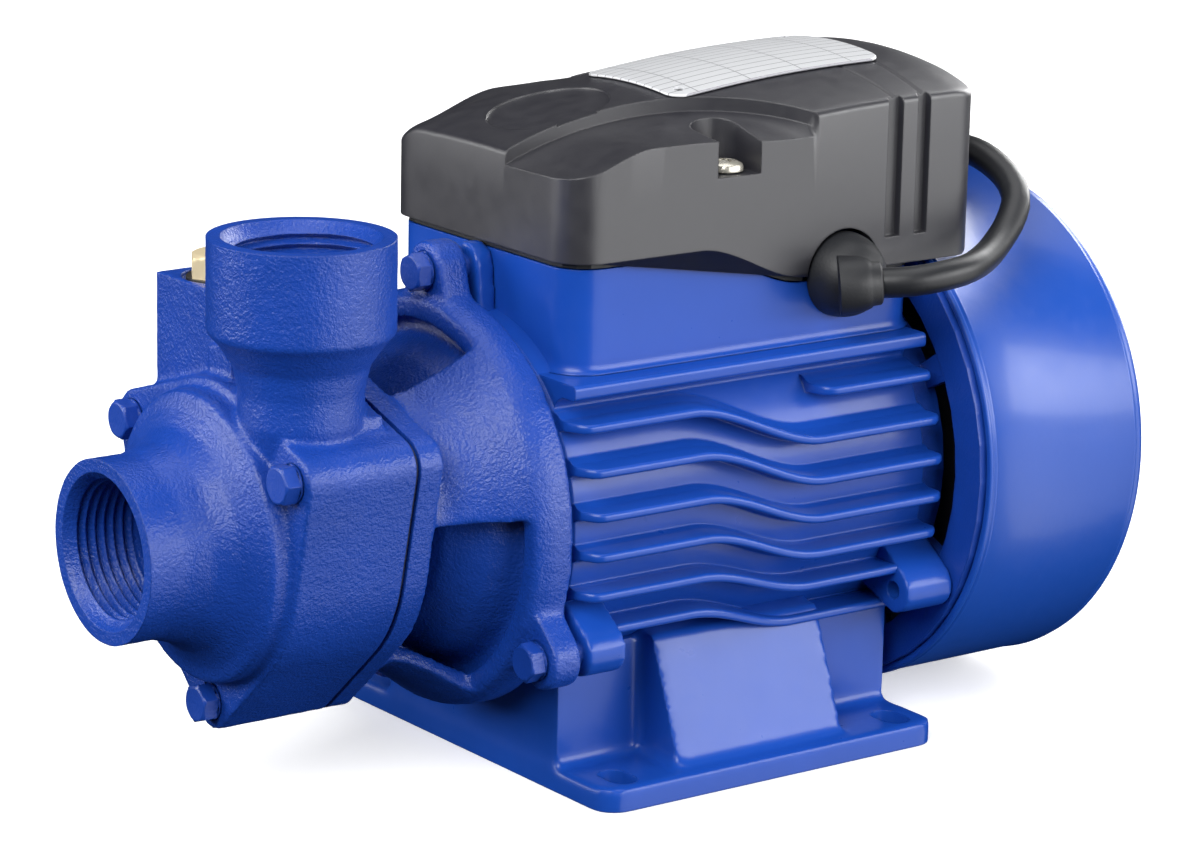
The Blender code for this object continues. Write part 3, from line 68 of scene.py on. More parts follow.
SHAFT_Z = JOINTS["rotor_spin"]["pos_m"][2]
SHAFT = (0.0, 0.0, SHAFT_Z)
INLET_X = MOUNTS["inlet_port"]["pos_m"][0]
OUTLET_X, OUTLET_Y, OUTLET_Z = MOUNTS["outlet_port"]["pos_m"]
FILLER_X, FILLER_Y = JOINTS["plug_turn"]["pos_m"][:2]
BRACKET_FRONT_X = BRACKET_LOW.x

# Pump end
CASING_REAR_X = -0.0911
PORT_RADIUS = 0.0206
THREAD_RADIUS = 0.01515
THREAD_DEPTH = 0.0016
THREAD_PITCH = 0.002309
THREAD_LENGTH = 0.0180
DISC_RADIUS = 0.0327
FLANGE_FRONT_X = -0.1185
BODY_RADIUS = 0.0350
LOBE_RADIUS = 0.0065
LOBE_CIRCLE = 0.0385
LOBE_ANGLES = (30, 150, 270)
TOWER_TOP = 0.1160
FILLER_PITCH = 0.001337
FILLER_RADIUS = 0.0056

# Bracket and motor frame
RIM_RADIUS = 0.0480
RIM_FRONT_X = -0.0625
RIM_REAR_X = -0.0545
PLATE_REAR_X = -0.0838
EAR_CIRCLE = 0.0530
EAR_ANGLES = (90, 210, 330)
WINDOW_OFFSET = -4.0
WINDOW_HALF = 33.0
FRAME_FRONT_X = -0.0520
FRAME_REAR_X = 0.0500
ROOT_RADIUS = 0.0440
BORE_RADIUS = 0.0400
FIN_TIP_RADIUS = 0.0515
FIN_HALF = 0.0011
FIN_LEFT_Z = (0.0870, 0.0777, 0.0681, 0.0589, 0.0494, 0.0401)
FIN_RIGHT_Z = (0.0771, 0.0679, 0.0589, 0.0500, 0.0417, 0.0318)
FIN_DROP_X = (-0.0200, 0.0150)
SHELF_TOP_Z = 0.0965
SHELF_HALF = 0.0425
FOOT_HALF_X, FOOT_HALF_Y = 0.0487, 0.0544
SLOT_CENTRE = (0.0400, 0.0465)
SLOT_RADIUS = 0.0036

# Terminal box
COVER_FRONT_Z = 0.1219
COVER_REAR_Z = 0.1125
STEP_X = (-0.0130, 0.0180)
COVER_HALF = COVER_HIGH.y
CLEAR_Y = 0.050  # outside the cover, where its cutters end
CLEAR_Z = 0.170
COVER_SIDE_REAR_X = 0.0620
COVER_PEAK_X = 0.0600
LEDGE_END_X = 0.0203
LEDGE_ARC = (-0.0350, -0.0782, 0.0687)  # centre x and y, radius
RISER = 0.0033
BADGE = (-0.0270, 0.0030, 0.0140)  # centre x and y, radius
COVER_WALL = 0.0025
COVER_EDGE = 0.0012
PLATE_LIFT = 0.0009
GLAND_X = 0.0290
GLAND_Z = 0.1118
GLAND_WALL_Y = -0.0358
SCREW_X = (SCREW_LOW.x + SCREW_HIGH.x) / 2
SCREW_Y = -(SCREW_LOW.y + SCREW_HIGH.y) / 2

# Cord: the route from the gland to the coil, the coil's turns, and the tail to the plug
CORD_RADIUS = 0.0035
PLUG_FACE_Y = 0.0820
CORD_POINTS = (
    (0.0303, -0.0493, 0.1120), (0.0327, -0.0514, 0.1122), (0.0364, -0.0538, 0.1126),
    (0.0420, -0.0553, 0.1132), (0.0510, -0.0545, 0.1138), (0.0600, -0.0505, 0.1148),
    (0.0680, -0.0462, 0.1172), (0.0750, -0.0423, 0.1208), (0.0803, -0.0378, 0.1250),
    (0.0828, -0.0305, 0.1290), (0.0833, -0.0200, 0.1322), (0.0833, -0.0080, 0.1322),
    (0.0830, 0.0050, 0.1300), (0.0827, 0.0190, 0.1250), (0.0825, 0.0335, 0.1182),
    (0.0822, 0.0465, 0.1075), (0.0820, 0.0565, 0.0940), (0.0818, 0.0630, 0.0780),
    (0.0816, 0.0655, 0.0610), (0.0815, 0.0665, 0.0440), (0.0815, 0.0690, 0.0270),
    (0.0812, 0.0755, 0.0120), (0.0805, 0.0860, 0.0048), (0.0785, 0.0980, 0.0037),
    (0.0752, 0.1090, 0.0037),
)
TAIL_POINTS = (
    (0.0040, 0.1685, 0.0105), (-0.0080, 0.1700, 0.0110), (-0.0190, 0.1690, 0.0120),
    (-0.0290, 0.1650, 0.0135), (-0.0370, 0.1580, 0.0152), (-0.0420, 0.1480, 0.0166),
    (-0.0438, 0.1400, 0.0171), (-0.0440, 0.1343, 0.0173),
)
COIL_TURNS = (  # angle in degrees, radius, height at the ends of each stretch of the coil
    (56, 0.0420, 0.0038), (346, 0.0420, 0.0038), (416, 0.0350, 0.0038), (650, 0.0350, 0.0038),
    (700, 0.0350, 0.0109), (940, 0.0350, 0.0109), (1000, 0.0420, 0.0109), (1153, 0.0420, 0.0109),
)

# Colours, linear
CAST_BLUE = (0.006, 0.043, 0.290)
GLOSS_BLUE = (0.007, 0.055, 0.340)
SHEET_BLUE = (0.008, 0.062, 0.360)
BLACK_PLASTIC = (0.015, 0.015, 0.021)
RUBBER = (0.010, 0.011, 0.014)
STEEL = (0.56, 0.57, 0.58)
BRASS = (0.86, 0.72, 0.46)
NICKEL = (0.74, 0.71, 0.62)
COPPER = (0.64, 0.26, 0.11)
ALUMINIUM = (0.72, 0.73, 0.75)
CREAM = (0.74, 0.74, 0.69)


# --- Materials ---

def add_node(tree, kind, **settings):
    node = tree.nodes.new(kind)
    for key, value in settings.items():
        setattr(node, key, value)
    return node


def set_inputs(node, **values):
    """Set a node's inputs, or link outputs to them, by name with _ for a space."""
    for name, value in values.items():
        socket = node.inputs[name.replace("_", " ")]
        if isinstance(value, bpy.types.NodeSocket):
            node.id_data.links.new(value, socket)
        else:
            socket.default_value = value
    return node


def noise_node(tree, source, scale, detail=2.0):
    node = add_node(tree, "ShaderNodeTexNoise")
    return set_inputs(node, Vector=source, Scale=scale, Detail=detail).outputs["Fac"]


def scaled(colour, factor):
    return (*[min(channel * factor, 1.0) for channel in colour], 1.0)


def surface(name, colour, roughness, metallic=0.0, mottle=0.08, mottle_scale=70.0, grain=(), edge=0.0,
            coat=0.0, stretch=(1.0, 1.0, 1.0), specular=0.5):
    """A finish with uneven colour and gloss, layers of fine relief and softened edges.

    Each grain layer is (features per metre, strength, depth)."""
    material = bpy.data.materials.new(name)
    material.use_nodes = True
    tree = material.node_tree
    coords = add_node(tree, "ShaderNodeTexCoord").outputs["Object"]
    mapping = set_inputs(add_node(tree, "ShaderNodeMapping"), Vector=coords, Scale=stretch)
    place = mapping.outputs["Vector"]
    mix = set_inputs(add_node(tree, "ShaderNodeMix", data_type="RGBA"), A=scaled(colour, 1 - mottle),
                     B=scaled(colour, 1 + mottle), Factor=noise_node(tree, place, mottle_scale, 4.0))
    gloss = set_inputs(add_node(tree, "ShaderNodeMapRange"), To_Min=roughness * 0.82,
                       To_Max=roughness * 1.18, Value=noise_node(tree, place, mottle_scale * 3.7, 3.0))
    shader = set_inputs(tree.nodes["Principled BSDF"], Base_Color=mix.outputs["Result"],
                        Roughness=gloss.outputs["Result"], Metallic=metallic, Coat_Weight=coat,
                        Coat_Roughness=0.12, Specular_IOR_Level=specular)
    relief = []
    if edge:
        relief.append(set_inputs(add_node(tree, "ShaderNodeBevel", samples=4), Radius=edge))
    for scale, strength, depth in grain:
        relief.append(set_inputs(add_node(tree, "ShaderNodeBump"), Strength=strength, Distance=depth,
                                 Height=noise_node(tree, place, scale)))
    for node, following in zip(relief, relief[1:] + [shader]):
        set_inputs(following, Normal=node.outputs["Normal"])
    return material


def ruled_plate():
    """Satin aluminium with a printed table of empty fields."""
    material = surface("nameplate_metal", ALUMINIUM, 0.34, 0.35, 0.05, 300.0, [(2500.0, 0.15, 0.00005)],
                       edge=0.0002, stretch=(1.0, 6.0, 1.0))
    tree = material.node_tree
    shader = tree.nodes["Principled BSDF"]
    metal = shader.inputs["Base Color"].links[0].from_socket
    coords = add_node(tree, "ShaderNodeTexCoord").outputs["Object"]
    table = set_inputs(add_node(tree, "ShaderNodeTexBrick", offset=0.0), Vector=coords, Scale=1.0,
                       Brick_Width=0.0150, Row_Height=0.0030, Mortar_Size=0.00012, Mortar_Smooth=0.1)
    ink = set_inputs(add_node(tree, "ShaderNodeMix", data_type="RGBA"), A=metal, B=(0.22, 0.22, 0.24, 1.0),
                     Factor=table.outputs["Fac"])
    set_inputs(shader, Base_Color=ink.outputs["Result"])
    return material


ORANGE_PEEL = [(260.0, 0.10, 0.0004)]
CAST_SKIN = [(600.0, 0.18, 0.0006), (1300.0, 0.60, 0.0004), (2600.0, 0.20, 0.0002)]
FINISHES = {
    "cast": surface("cast_enamel", CAST_BLUE, 0.34, grain=CAST_SKIN, edge=0.0005, mottle=0.16,
                    specular=0.45),
    "cast_fine": surface("cast_enamel_fine", CAST_BLUE, 0.36, mottle=0.12, edge=0.0005, coat=0.10,
                         grain=[(500.0, 0.12, 0.0006), (1500.0, 0.25, 0.0003)]),
    "gloss": surface("gloss_enamel", GLOSS_BLUE, 0.30, grain=ORANGE_PEEL, edge=0.0005, coat=0.10,
                     specular=0.35),
    "sheet": surface("sheet_enamel", SHEET_BLUE, 0.34, grain=ORANGE_PEEL, edge=0.0004, coat=0.15,
                     mottle=0.05),
    "plastic": surface("moulded_black", BLACK_PLASTIC, 0.42, grain=[(3500.0, 0.14, 0.0001)], edge=0.0005,
                       mottle=0.10, specular=1.0),
    "rubber": surface("black_rubber", RUBBER, 0.52, grain=[(1800.0, 0.20, 0.0002)], edge=0.0003),
    "sheath": surface("cord_sheath", RUBBER, 0.42, grain=[(900.0, 0.12, 0.0002)]),
    "steel": surface("machined_steel", STEEL, 0.28, 1.0, grain=[(1500.0, 0.10, 0.0001)], edge=0.0002),
    "brass": surface("machined_brass", BRASS, 0.42, 0.55, grain=[(1500.0, 0.10, 0.0001)], edge=0.0003),
    "nickel": surface("nickel_plate", NICKEL, 0.28, 0.75, grain=[(1200.0, 0.06, 0.0001)], edge=0.0003),
    "copper": surface("wound_copper", COPPER, 0.38, 0.9, mottle=0.2, grain=[(1600.0, 0.6, 0.0004)]),
    "laminations": surface("lamination_stack", (0.36, 0.36, 0.37), 0.5, 0.8, mottle=0.2,
                           grain=[(60.0, 0.4, 0.0003)], stretch=(30.0, 1.0, 1.0)),
    "aluminium": surface("cast_aluminium", ALUMINIUM, 0.42, 0.9, grain=[(900.0, 0.2, 0.0002)]),
    "cream": surface("cream_plastic", CREAM, 0.45, mottle=0.04, grain=[(2500.0, 0.1, 0.0001)], edge=0.0003),
    "carbon": surface("carbon_face", (0.03, 0.03, 0.032), 0.3, mottle=0.1, grain=[(3000.0, 0.1, 0.0001)]),
    "fibre": surface("fibre_gasket", (0.020, 0.026, 0.060), 0.85, mottle=0.2, grain=[(2500.0, 0.4, 0.0002)]),
    "plate": ruled_plate(),
}


# --- Mesh tools ---

def spot(axis, centre, radius, angle, along):
    """The point at a radius and angle about an axis through centre, at a distance along it."""
    u, v = radius * math.cos(angle), radius * math.sin(angle)
    if axis == "X":
        return (along, centre[1] + u, centre[2] + v)
    if axis == "Y":
        return (centre[0] + u, along, centre[2] + v)
    return (centre[0] + u, centre[1] + v, along)


def add_object(name, data):
    thing = bpy.data.objects.new(name, data)
    bpy.context.scene.collection.objects.link(thing)
    return thing


def add_mesh(name, shape):
    mesh = bpy.data.meshes.new(name)
    shape.to_mesh(mesh)
    shape.free()
    return add_object(name, mesh)


def bridge(shape, first, second):
    """Faces between two rings of vertices; a ring of one vertex is a pole."""
    count = max(len(first), len(second))
    for i in range(count):
        j = (i + 1) % count
        corners = [first[i % len(first)], first[j % len(first)], second[j % len(second)],
                   second[i % len(second)]]
        shape.faces.new(list(dict.fromkeys(corners)))


def loft(name, rows, closed=False):
    """A skin over closed rows of points, with caps or joined end to end."""
    shape = bmesh.new()
    rings = [[shape.verts.new(point) for point in row] for row in rows]
    for first, second in zip(rings, rings[1:]):
        bridge(shape, first, second)
    if closed:
        bridge(shape, rings[-1], rings[0])
    else:
        for ring in (rings[0], rings[-1]):
            if len(ring) > 2:
                shape.faces.new(ring)
    bmesh.ops.recalc_face_normals(shape, faces=shape.faces)
    return add_mesh(name, shape)


def lathe(name, axis, centre, profile, steps=96, shift=None, closed=False):
    """Turn (radius, distance) points about an axis; shift(distance, angle) adds to the radius."""
    angles = [math.tau * step / steps for step in range(steps)]
    rows = []
    for radius, along in profile:
        if radius < 1e-7:
            rows.append([spot(axis, centre, 0.0, 0.0, along)])
        else:
            rows.append([spot(axis, centre, radius + (shift(along, angle) if shift else 0.0), angle, along)
                         for angle in angles])
    return loft(name, rows, closed)


def cylinder(name, axis, centre, radius, low, high, steps=48):
    return lathe(name, axis, centre, [(radius, low), (radius, high)], steps)


def bores(circle, angles, radius, low, high, steps=24):
    """Cylinders along the shaft, one at each angle of a bolt circle."""
    return [cylinder("bore", "X", (0.0, *polar(circle, angle)), radius, low, high, steps)
            for angle in angles]


def sector(name, profile, start, end, steps=24):
    """Sweep a closed (radius, x) profile about the shaft line, between two angles in degrees."""
    rows = []
    for step in range(steps + 1):
        angle = math.radians(start + (end - start) * step / steps)
        rows.append([spot("X", SHAFT, radius, angle, x) for radius, x in profile])
    return loft(name, rows)


def prism(name, axis, outline, low, high):
    """Extrude an outline along an axis. It is (y, z) along X, (x, z) along Y and (x, y) along Z."""
    order = {"X": (2, 0, 1), "Y": (0, 2, 1), "Z": (0, 1, 2)}[axis]
    rows = [[(*point, level) for point in outline] for level in (low, high)]
    return loft(name, [[tuple(point[index] for index in order) for point in row] for row in rows])


def block(name, low, high):
    outline = [(low[0], low[1]), (high[0], low[1]), (high[0], high[1]), (low[0], high[1])]
    return prism(name, "Z", outline, low[2], high[2])


def polar(radius, degrees):
    """The (y, z) of a point about the shaft line."""
    angle = math.radians(degrees)
    return radius * math.cos(angle), SHAFT_Z + radius * math.sin(angle)


def arc(centre, radius, start, end, steps):
    angles = [math.radians(start + (end - start) * step / steps) for step in range(steps + 1)]
    return [(centre[0] + radius * math.cos(angle), centre[1] + radius * math.sin(angle)) for angle in angles]


def rounded_rectangle(low, high, radius, steps=8):
    left, right, near, far = low[0] + radius, high[0] - radius, low[1] + radius, high[1] - radius
    points = []
    for centre, start in (((right, far), 0), ((left, far), 90), ((left, near), 180), ((right, near), 270)):
        points += arc(centre, radius, start, start + 90, steps)
    return points


def smoothstep(value):
    value = min(max(value, 0.0), 1.0)
    return value * value * (3 - 2 * value)


def settle(thing):
    """Make an object's modifiers part of its mesh."""
    bpy.context.view_layer.update()
    evaluated = thing.evaluated_get(bpy.context.evaluated_depsgraph_get())
    mesh = bpy.data.meshes.new_from_object(evaluated)
    thing.modifiers.clear()
    thing.data = mesh
    return thing


def fuse(name, things):
    """Put the meshes of several objects in one object."""
    shape = bmesh.new()
    for thing in things:
        shape.from_mesh(thing.data)
        bpy.data.objects.remove(thing)
    return add_mesh(name, shape)


def machine(thing, cutters):
    """Cut closed solids from a closed solid, leaving crisp edges."""
    for cutter in cutters:
        modifier = thing.modifiers.new("cut", "BOOLEAN")
        modifier.operation = "DIFFERENCE"
        modifier.solver = "MANIFOLD"
        modifier.object = cutter
    settle(thing)
    for cutter in cutters:
        bpy.data.objects.remove(cutter)


def remesh(thing, voxel, rounds):
    modifier = thing.modifiers.new("fuse", "REMESH")
    modifier.mode = "VOXEL"
    modifier.voxel_size = voxel
    if rounds:
        soften = thing.modifiers.new("soften", "SMOOTH")
        soften.factor = 0.5
        soften.iterations = rounds
    return settle(thing)


def roughen(thing, height, size):
    """Move each vertex along its normal by smooth noise: the uneven skin of a sand casting."""
    mesh = thing.data
    normals = [vertex.normal.copy() for vertex in mesh.vertices]
    for vertex, normal in zip(mesh.vertices, normals):
        vertex.co += normal * height * noise.noise(vertex.co / size)
    mesh.update()


def cast(name, solids, voxel, rounds, hollows=(), height=0.00006, size=0.0025):
    """Fuse overlapping solids into one casting, with rounded edges, filled corners and an uneven skin."""
    body = remesh(fuse(name, solids), voxel, 0)
    if hollows:
        machine(body, hollows)
    remesh(body, voxel, rounds)
    roughen(body, height, size)
    return body


def present(thing, finish, slot, *replaced, body="pump", angle=40.0):
    """Shade, finish and attach a piece that stands for the replaced CAD nodes."""
    if thing.type == "MESH":
        thing.data.shade_smooth()
        thing.data.set_sharp_from_angle(angle=math.radians(angle))
    thing.data.materials.clear()
    thing.data.materials.append(FINISHES[finish])
    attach(thing, body)
    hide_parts(*replaced)
    return thing


# --- Camera, light and floor ---

LIGHT_TARGET = (0.0, 0.0, 0.07)


def make_camera():
    azimuth, elevation, roll = math.radians(-36.67), math.radians(14.38), math.radians(1.24)
    camera = add_object("camera", bpy.data.cameras.new("camera"))
    camera.matrix_world = (Matrix.Translation((-0.6067, -0.7981, 0.3280))
                           @ Matrix.Rotation(azimuth, 4, "Z")
                           @ Matrix.Rotation(math.pi / 2 - elevation, 4, "X")
                           @ Matrix.Rotation(roll, 4, "Z"))
    camera.data.lens = 131.97
    camera.data.sensor_width = 36.0
    bpy.context.scene.camera = camera


def make_softbox(name, place, size, power):
    light = bpy.data.lights.new(name, "AREA")
    light.shape = "RECTANGLE"
    light.size, light.size_y = size
    light.energy = power
    softbox = add_object(name, light)
    softbox.location = place
    softbox.rotation_euler = (Vector(LIGHT_TARGET) - Vector(place)).to_track_quat("-Z", "Y").to_euler()


def make_studio():
    floor = block("floor", (-6, -6, -0.02), (6, 6, -0.0002))
    pale = surface("pale_floor", (0.85, 0.85, 0.86), 0.7, mottle=0.01)
    set_inputs(pale.node_tree.nodes["Principled BSDF"], Emission_Color=(1.0, 1.0, 1.0, 1.0),
               Emission_Strength=0.45)
    floor.data.materials.append(pale)
    floor.visible_glossy = False
    floor.visible_diffuse = False
    floor.visible_shadow = False
    make_softbox("key_left", (-1.00, -0.55, 0.95), (0.9, 0.9), 22.0)
    make_softbox("side_right", (0.75, -1.25, 0.50), (2.2, 0.6), 28.0)
    make_softbox("front_left", (-1.20, 0.75, 0.45), (0.9, 0.7), 16.0)
    make_softbox("rim_right", (1.15, 0.35, 0.55), (0.5, 0.9), 14.0)
    make_softbox("floor_bounce", (0.75, -1.10, -0.38), (2.0, 0.9), 9.0)
    make_softbox("top", (0.10, 0.10, 1.40), (1.2, 1.2), 9.5)
    world = bpy.data.worlds.new("studio")
    world.use_nodes = True
    set_inputs(world.node_tree.nodes["Background"], Color=(0.92, 0.95, 1.0, 1.0), Strength=0.12)
    bpy.context.scene.world = world
    world.cycles_visibility.glossy = False
    bpy.context.scene.view_settings.view_transform = "Standard"


# --- Cord ---

def smooth_route(points, spacing):
    """Even steps along a Catmull-Rom curve through the points."""
    knots = [Vector(point) for point in points]
    knots = [2 * knots[0] - knots[1]] + knots + [2 * knots[-1] - knots[-2]]
    fine = []
    for a, b, c, d in zip(knots, knots[1:], knots[2:], knots[3:]):
        for step in range(24):
            t = step / 24
            fine.append(0.5 * (2 * b + (c - a) * t + (2 * a - 5 * b + 4 * c - d) * t * t
                               + (3 * b - a - 3 * c + d) * t ** 3))
    fine.append(knots[-2])
    length = sum((b - a).length for a, b in zip(fine, fine[1:]))
    count = max(round(length / spacing), 2)
    route = [fine[0]]
    travelled = 0.0
    for a, b in zip(fine, fine[1:]):
        step = (b - a).length
        while len(route) < count and travelled + step >= length * len(route) / count:
            share = (length * len(route) / count - travelled) / step
            route.append(a.lerp(b, share))
        travelled += step
    route.append(fine[-1])
    return route


def coil_points():
    """The turns of the coil, a point every 10 degrees."""
    centre = ((COIL_LOW.x + COIL_HIGH.x) / 2, (COIL_LOW.y + COIL_HIGH.y) / 2)
    points = []
    for (start, r0, z0), (end, r1, z1) in zip(COIL_TURNS, COIL_TURNS[1:]):
        steps = max(round((end - start) / 10), 1)
        for step in range(steps):
            share = smoothstep(step / steps)
            angle = math.radians(start + (end - start) * step / steps)
            points.append(spot("Z", centre, r0 + (r1 - r0) * share, angle, z0 + (z1 - z0) * share))
    return points


def make_cord(plug_pieces):
    route = smooth_route(list(CORD_POINTS) + coil_points() + list(TAIL_POINTS), 0.0035)
    curve = bpy.data.curves.new("mains_cord", "CURVE")
    curve.dimensions = "3D"
    curve.bevel_depth = CORD_RADIUS
    curve.bevel_resolution = 5
    curve.use_fill_caps = True
    spline = curve.splines.new("POLY")
    spline.points.add(len(route) - 1)
    for point, place in zip(spline.points, route):
        point.co = (*place, 1.0)
    spline.use_smooth = True
    cord = add_object("mains_cord", curve)
    present(cord, "sheath", "black_rubber", "cord", "cord_coil", "cord_tail")


def make_mains_plug():
    """A moulded two-pin plug with a grip band and a ribbed strain relief."""
    x = (PLUG_LOW.x + PLUG_HIGH.x) / 2
    radius = (PLUG_HIGH.x - PLUG_LOW.x) / 2
    face = PLUG_FACE_Y
    centre = (x, 0.0, PLUG_LOW.z + radius)
    profile = [(0.0, face), (radius - 0.0010, face), (radius, face + 0.0010)]
    for rib in range(6):
        y = face + 0.0040 + 0.0024 * rib
        profile += [(radius, y), (radius - 0.0006, y + 0.0006), (radius - 0.0006, y + 0.0012),
                    (radius, y + 0.0018)]
    profile += [(radius - 0.0004, face + 0.0205), (0.0110, face + 0.0280)]
    for rib in range(5):
        y = face + 0.0300 + 0.0040 * rib
        outer = 0.0102 - 0.0011 * rib
        profile += [(outer, y), (outer, y + 0.0020), (outer - 0.0016, y + 0.0024),
                    (outer - 0.0016, y + 0.0036)]
    profile += [(0.0046, PLUG_HIGH.y - 0.0010), (0.0040, PLUG_HIGH.y), (0.0, PLUG_HIGH.y)]
    body = lathe("mains_plug_body", "Y", centre, profile, 64)
    present(body, "rubber", "black_rubber", "mains_plug")
    pin = [(0.0, PLUG_LOW.y), (0.0014, PLUG_LOW.y + 0.0003), (0.0023, PLUG_LOW.y + 0.0014),
           (0.0024, PLUG_LOW.y + 0.0030), (0.0024, face + 0.0020), (0.0, face + 0.0020)]
    pins = [lathe("pin", "Y", (x + side, 0.0, centre[2]), pin, 32) for side in (-0.0095, 0.0095)]
    prongs = present(fuse("mains_plug_pins", pins), "nickel", "black_rubber", "mains_plug")
    return [body, prongs]


# --- Pump end ---

def lobed_outline():
    """The pump flange: a circle with three bolt lobes, joined by their common tangents."""
    spread = math.degrees(math.acos((BODY_RADIUS - LOBE_RADIUS) / LOBE_CIRCLE))
    points = []
    for angle in LOBE_ANGLES:
        points += arc(polar(LOBE_CIRCLE, angle), LOBE_RADIUS, angle - spread, angle + spread, 12)
        points += arc((0.0, SHAFT_Z), BODY_RADIUS, angle + spread, angle + 120 - spread, 14)
    return points


def port_cutter(name, axis, centre, face, inward, neck_radius, neck_depth):
    """The machined port: flat face, wide chamfer, helical thread, runout and passage."""
    def thread(along, angle):
        depth = (along - face) * inward
        if depth < 0.0012 or depth > THREAD_LENGTH:
            return 0.0
        fade = smoothstep((depth - 0.0012) / 0.0015) * smoothstep((THREAD_LENGTH - depth) / 0.0030)
        phase = (depth / THREAD_PITCH + inward * angle / math.tau) % 1.0
        return THREAD_DEPTH * fade * (1 - abs(2 * phase - 1))

    chamfer = 0.0022
    section = [(0.0, -0.0040), (0.0300, -0.0040), (0.0300, 0.0), (THREAD_RADIUS + 0.0024, 0.0),
               (THREAD_RADIUS + 0.0004, chamfer)]
    rings = int(THREAD_LENGTH / THREAD_PITCH * 8)
    section += [(THREAD_RADIUS, chamfer + (THREAD_LENGTH - chamfer) * ring / rings)
                for ring in range(1, rings)]
    section += [(THREAD_RADIUS, THREAD_LENGTH + 0.0005), (neck_radius, THREAD_LENGTH + 0.0030),
                (neck_radius, neck_depth), (0.0, neck_depth)]
    profile = [(radius, face + inward * depth) for radius, depth in section]
    return lathe(name, axis, centre, profile, 96, shift=thread)


def make_casing():
    inlet = [(0.0, -0.1120), (DISC_RADIUS, -0.1120), (DISC_RADIUS, -0.1226), (DISC_RADIUS - 0.0008, -0.1233),
             (0.0290, -0.1242), (0.0250, -0.1268), (0.0222, -0.1310), (PORT_RADIUS, -0.1370),
             (PORT_RADIUS, INLET_X - 0.0030), (0.0, INLET_X - 0.0030)]
    outlet = [(0.0, OUTLET_Z + 0.0030), (PORT_RADIUS, OUTLET_Z + 0.0030), (PORT_RADIUS, 0.1118),
              (PORT_RADIUS - 0.0020, 0.1098), (0.0150, 0.1045), (0.0138, 0.0985), (0.0138, 0.0920),
              (0.0100, 0.0790), (0.0, 0.0790)]
    tower_front, tower_side, filler = -0.1140, 0.0310, (FILLER_X, FILLER_Y)
    shoulder = [(-0.0340, 0.0720), (-0.0325, 0.0850), (-0.0300, 0.0930), (-0.0100, 0.0990),
                (0.0200, 0.0900), (0.0, 0.0720)]
    pad = [(0.0070, 0.0985), (-0.0030, 0.0975), (-0.0030, 0.1062), (0.0070, 0.1040)]
    solids = [
        prism("body", "X", lobed_outline(), FLANGE_FRONT_X, CASING_REAR_X + 0.003),
        lathe("inlet", "X", SHAFT, inlet, 96),
        lathe("outlet", "Z", (OUTLET_X, OUTLET_Y), outlet, 96),
        block("tower", (tower_front, -0.0100, 0.0780), (-0.0925, tower_side, TOWER_TOP)),
        prism("pad", "X", pad, tower_front - 0.0012, tower_front + 0.0020),
        prism("shoulder", "X", shoulder, -0.1165, -0.0935),
    ]
    casing = cast("casing_casting", solids, 0.00060, 3)
    seats = bores(LOBE_CIRCLE, LOBE_ANGLES, 0.0044, -0.1300, FLANGE_FRONT_X + 0.0002, 48)
    holes = bores(LOBE_CIRCLE, LOBE_ANGLES, 0.0028, -0.1250, -0.0880)
    machine(casing, seats + holes + [
        block("rear_face", (CASING_REAR_X, -0.060, 0.0), (CASING_REAR_X + 0.010, 0.060, 0.1085)),
        cylinder("volute", "X", SHAFT, 0.0305, -0.1135, CASING_REAR_X + 0.002, 72),
        port_cutter("inlet_cut", "X", SHAFT, INLET_X, 1, 0.0125, 0.0360),
        port_cutter("outlet_cut", "Z", (OUTLET_X, OUTLET_Y), OUTLET_Z, -1, 0.0095, 0.0600),
        cylinder("filler_bore", "Z", filler, 0.0060, 0.0700, 0.1200, 32),
        cylinder("filler_recess", "Z", filler, 0.0095, TOWER_TOP - 0.0012, 0.1220, 48),
    ])
    present(casing, "cast", "cast_blue", "pump_casing")


def hex_radius(across_flats, angle):
    corner = (angle % (math.pi / 3)) - math.pi / 6
    return across_flats / 2 / math.cos(corner)


def hex_head(name, axis, centre, across_flats, low, high, turn=0.0, washer=0.0):
    """A hexagon with chamfered corners, from its bearing face at low to its top at high."""
    height = high - low
    angles = [math.tau * step / 72 for step in range(72)]
    levels = [0.0, 0.55, 0.70, 0.80, 0.88, 0.95, 1.0]
    rows = [[spot(axis, centre, 0.0, 0.0, low)]]
    if washer:
        rows += [[spot(axis, centre, washer, angle, low + height * share) for angle in angles]
                 for share in (0.0, 0.12)]
        levels[0] = 0.13
    for share in levels:
        cone = across_flats / 2 * 0.93 + (1 - share) * abs(height) * 1.8
        rows.append([spot(axis, centre, min(hex_radius(across_flats, angle), cone), angle + turn,
                          low + height * share) for angle in angles])
    rows.append([spot(axis, centre, 0.0, 0.0, high - height * 0.04)])
    return loft(name, rows)


def make_bolts(stem, face_x, circle, angles, across_flats, thickness, shank, length):
    """A flanged hex bolt at each angle of a bolt circle."""
    for number, angle in enumerate(angles, 1):
        centre = (0.0, *polar(circle, angle))
        head = hex_head("head", "X", centre, across_flats, face_x, face_x - thickness,
                        math.radians(angle * 0.37), across_flats * 0.54)
        rod = lathe("rod", "X", centre, [(shank, face_x - 0.0005), (shank, face_x + length - 0.0006),
                                         (shank - 0.0006, face_x + length)], 24)
        present(fuse(f"{stem}_{number}_head", [head, rod]), "cast_fine", "bolt_blue", f"{stem}_{number}",
                angle=30)


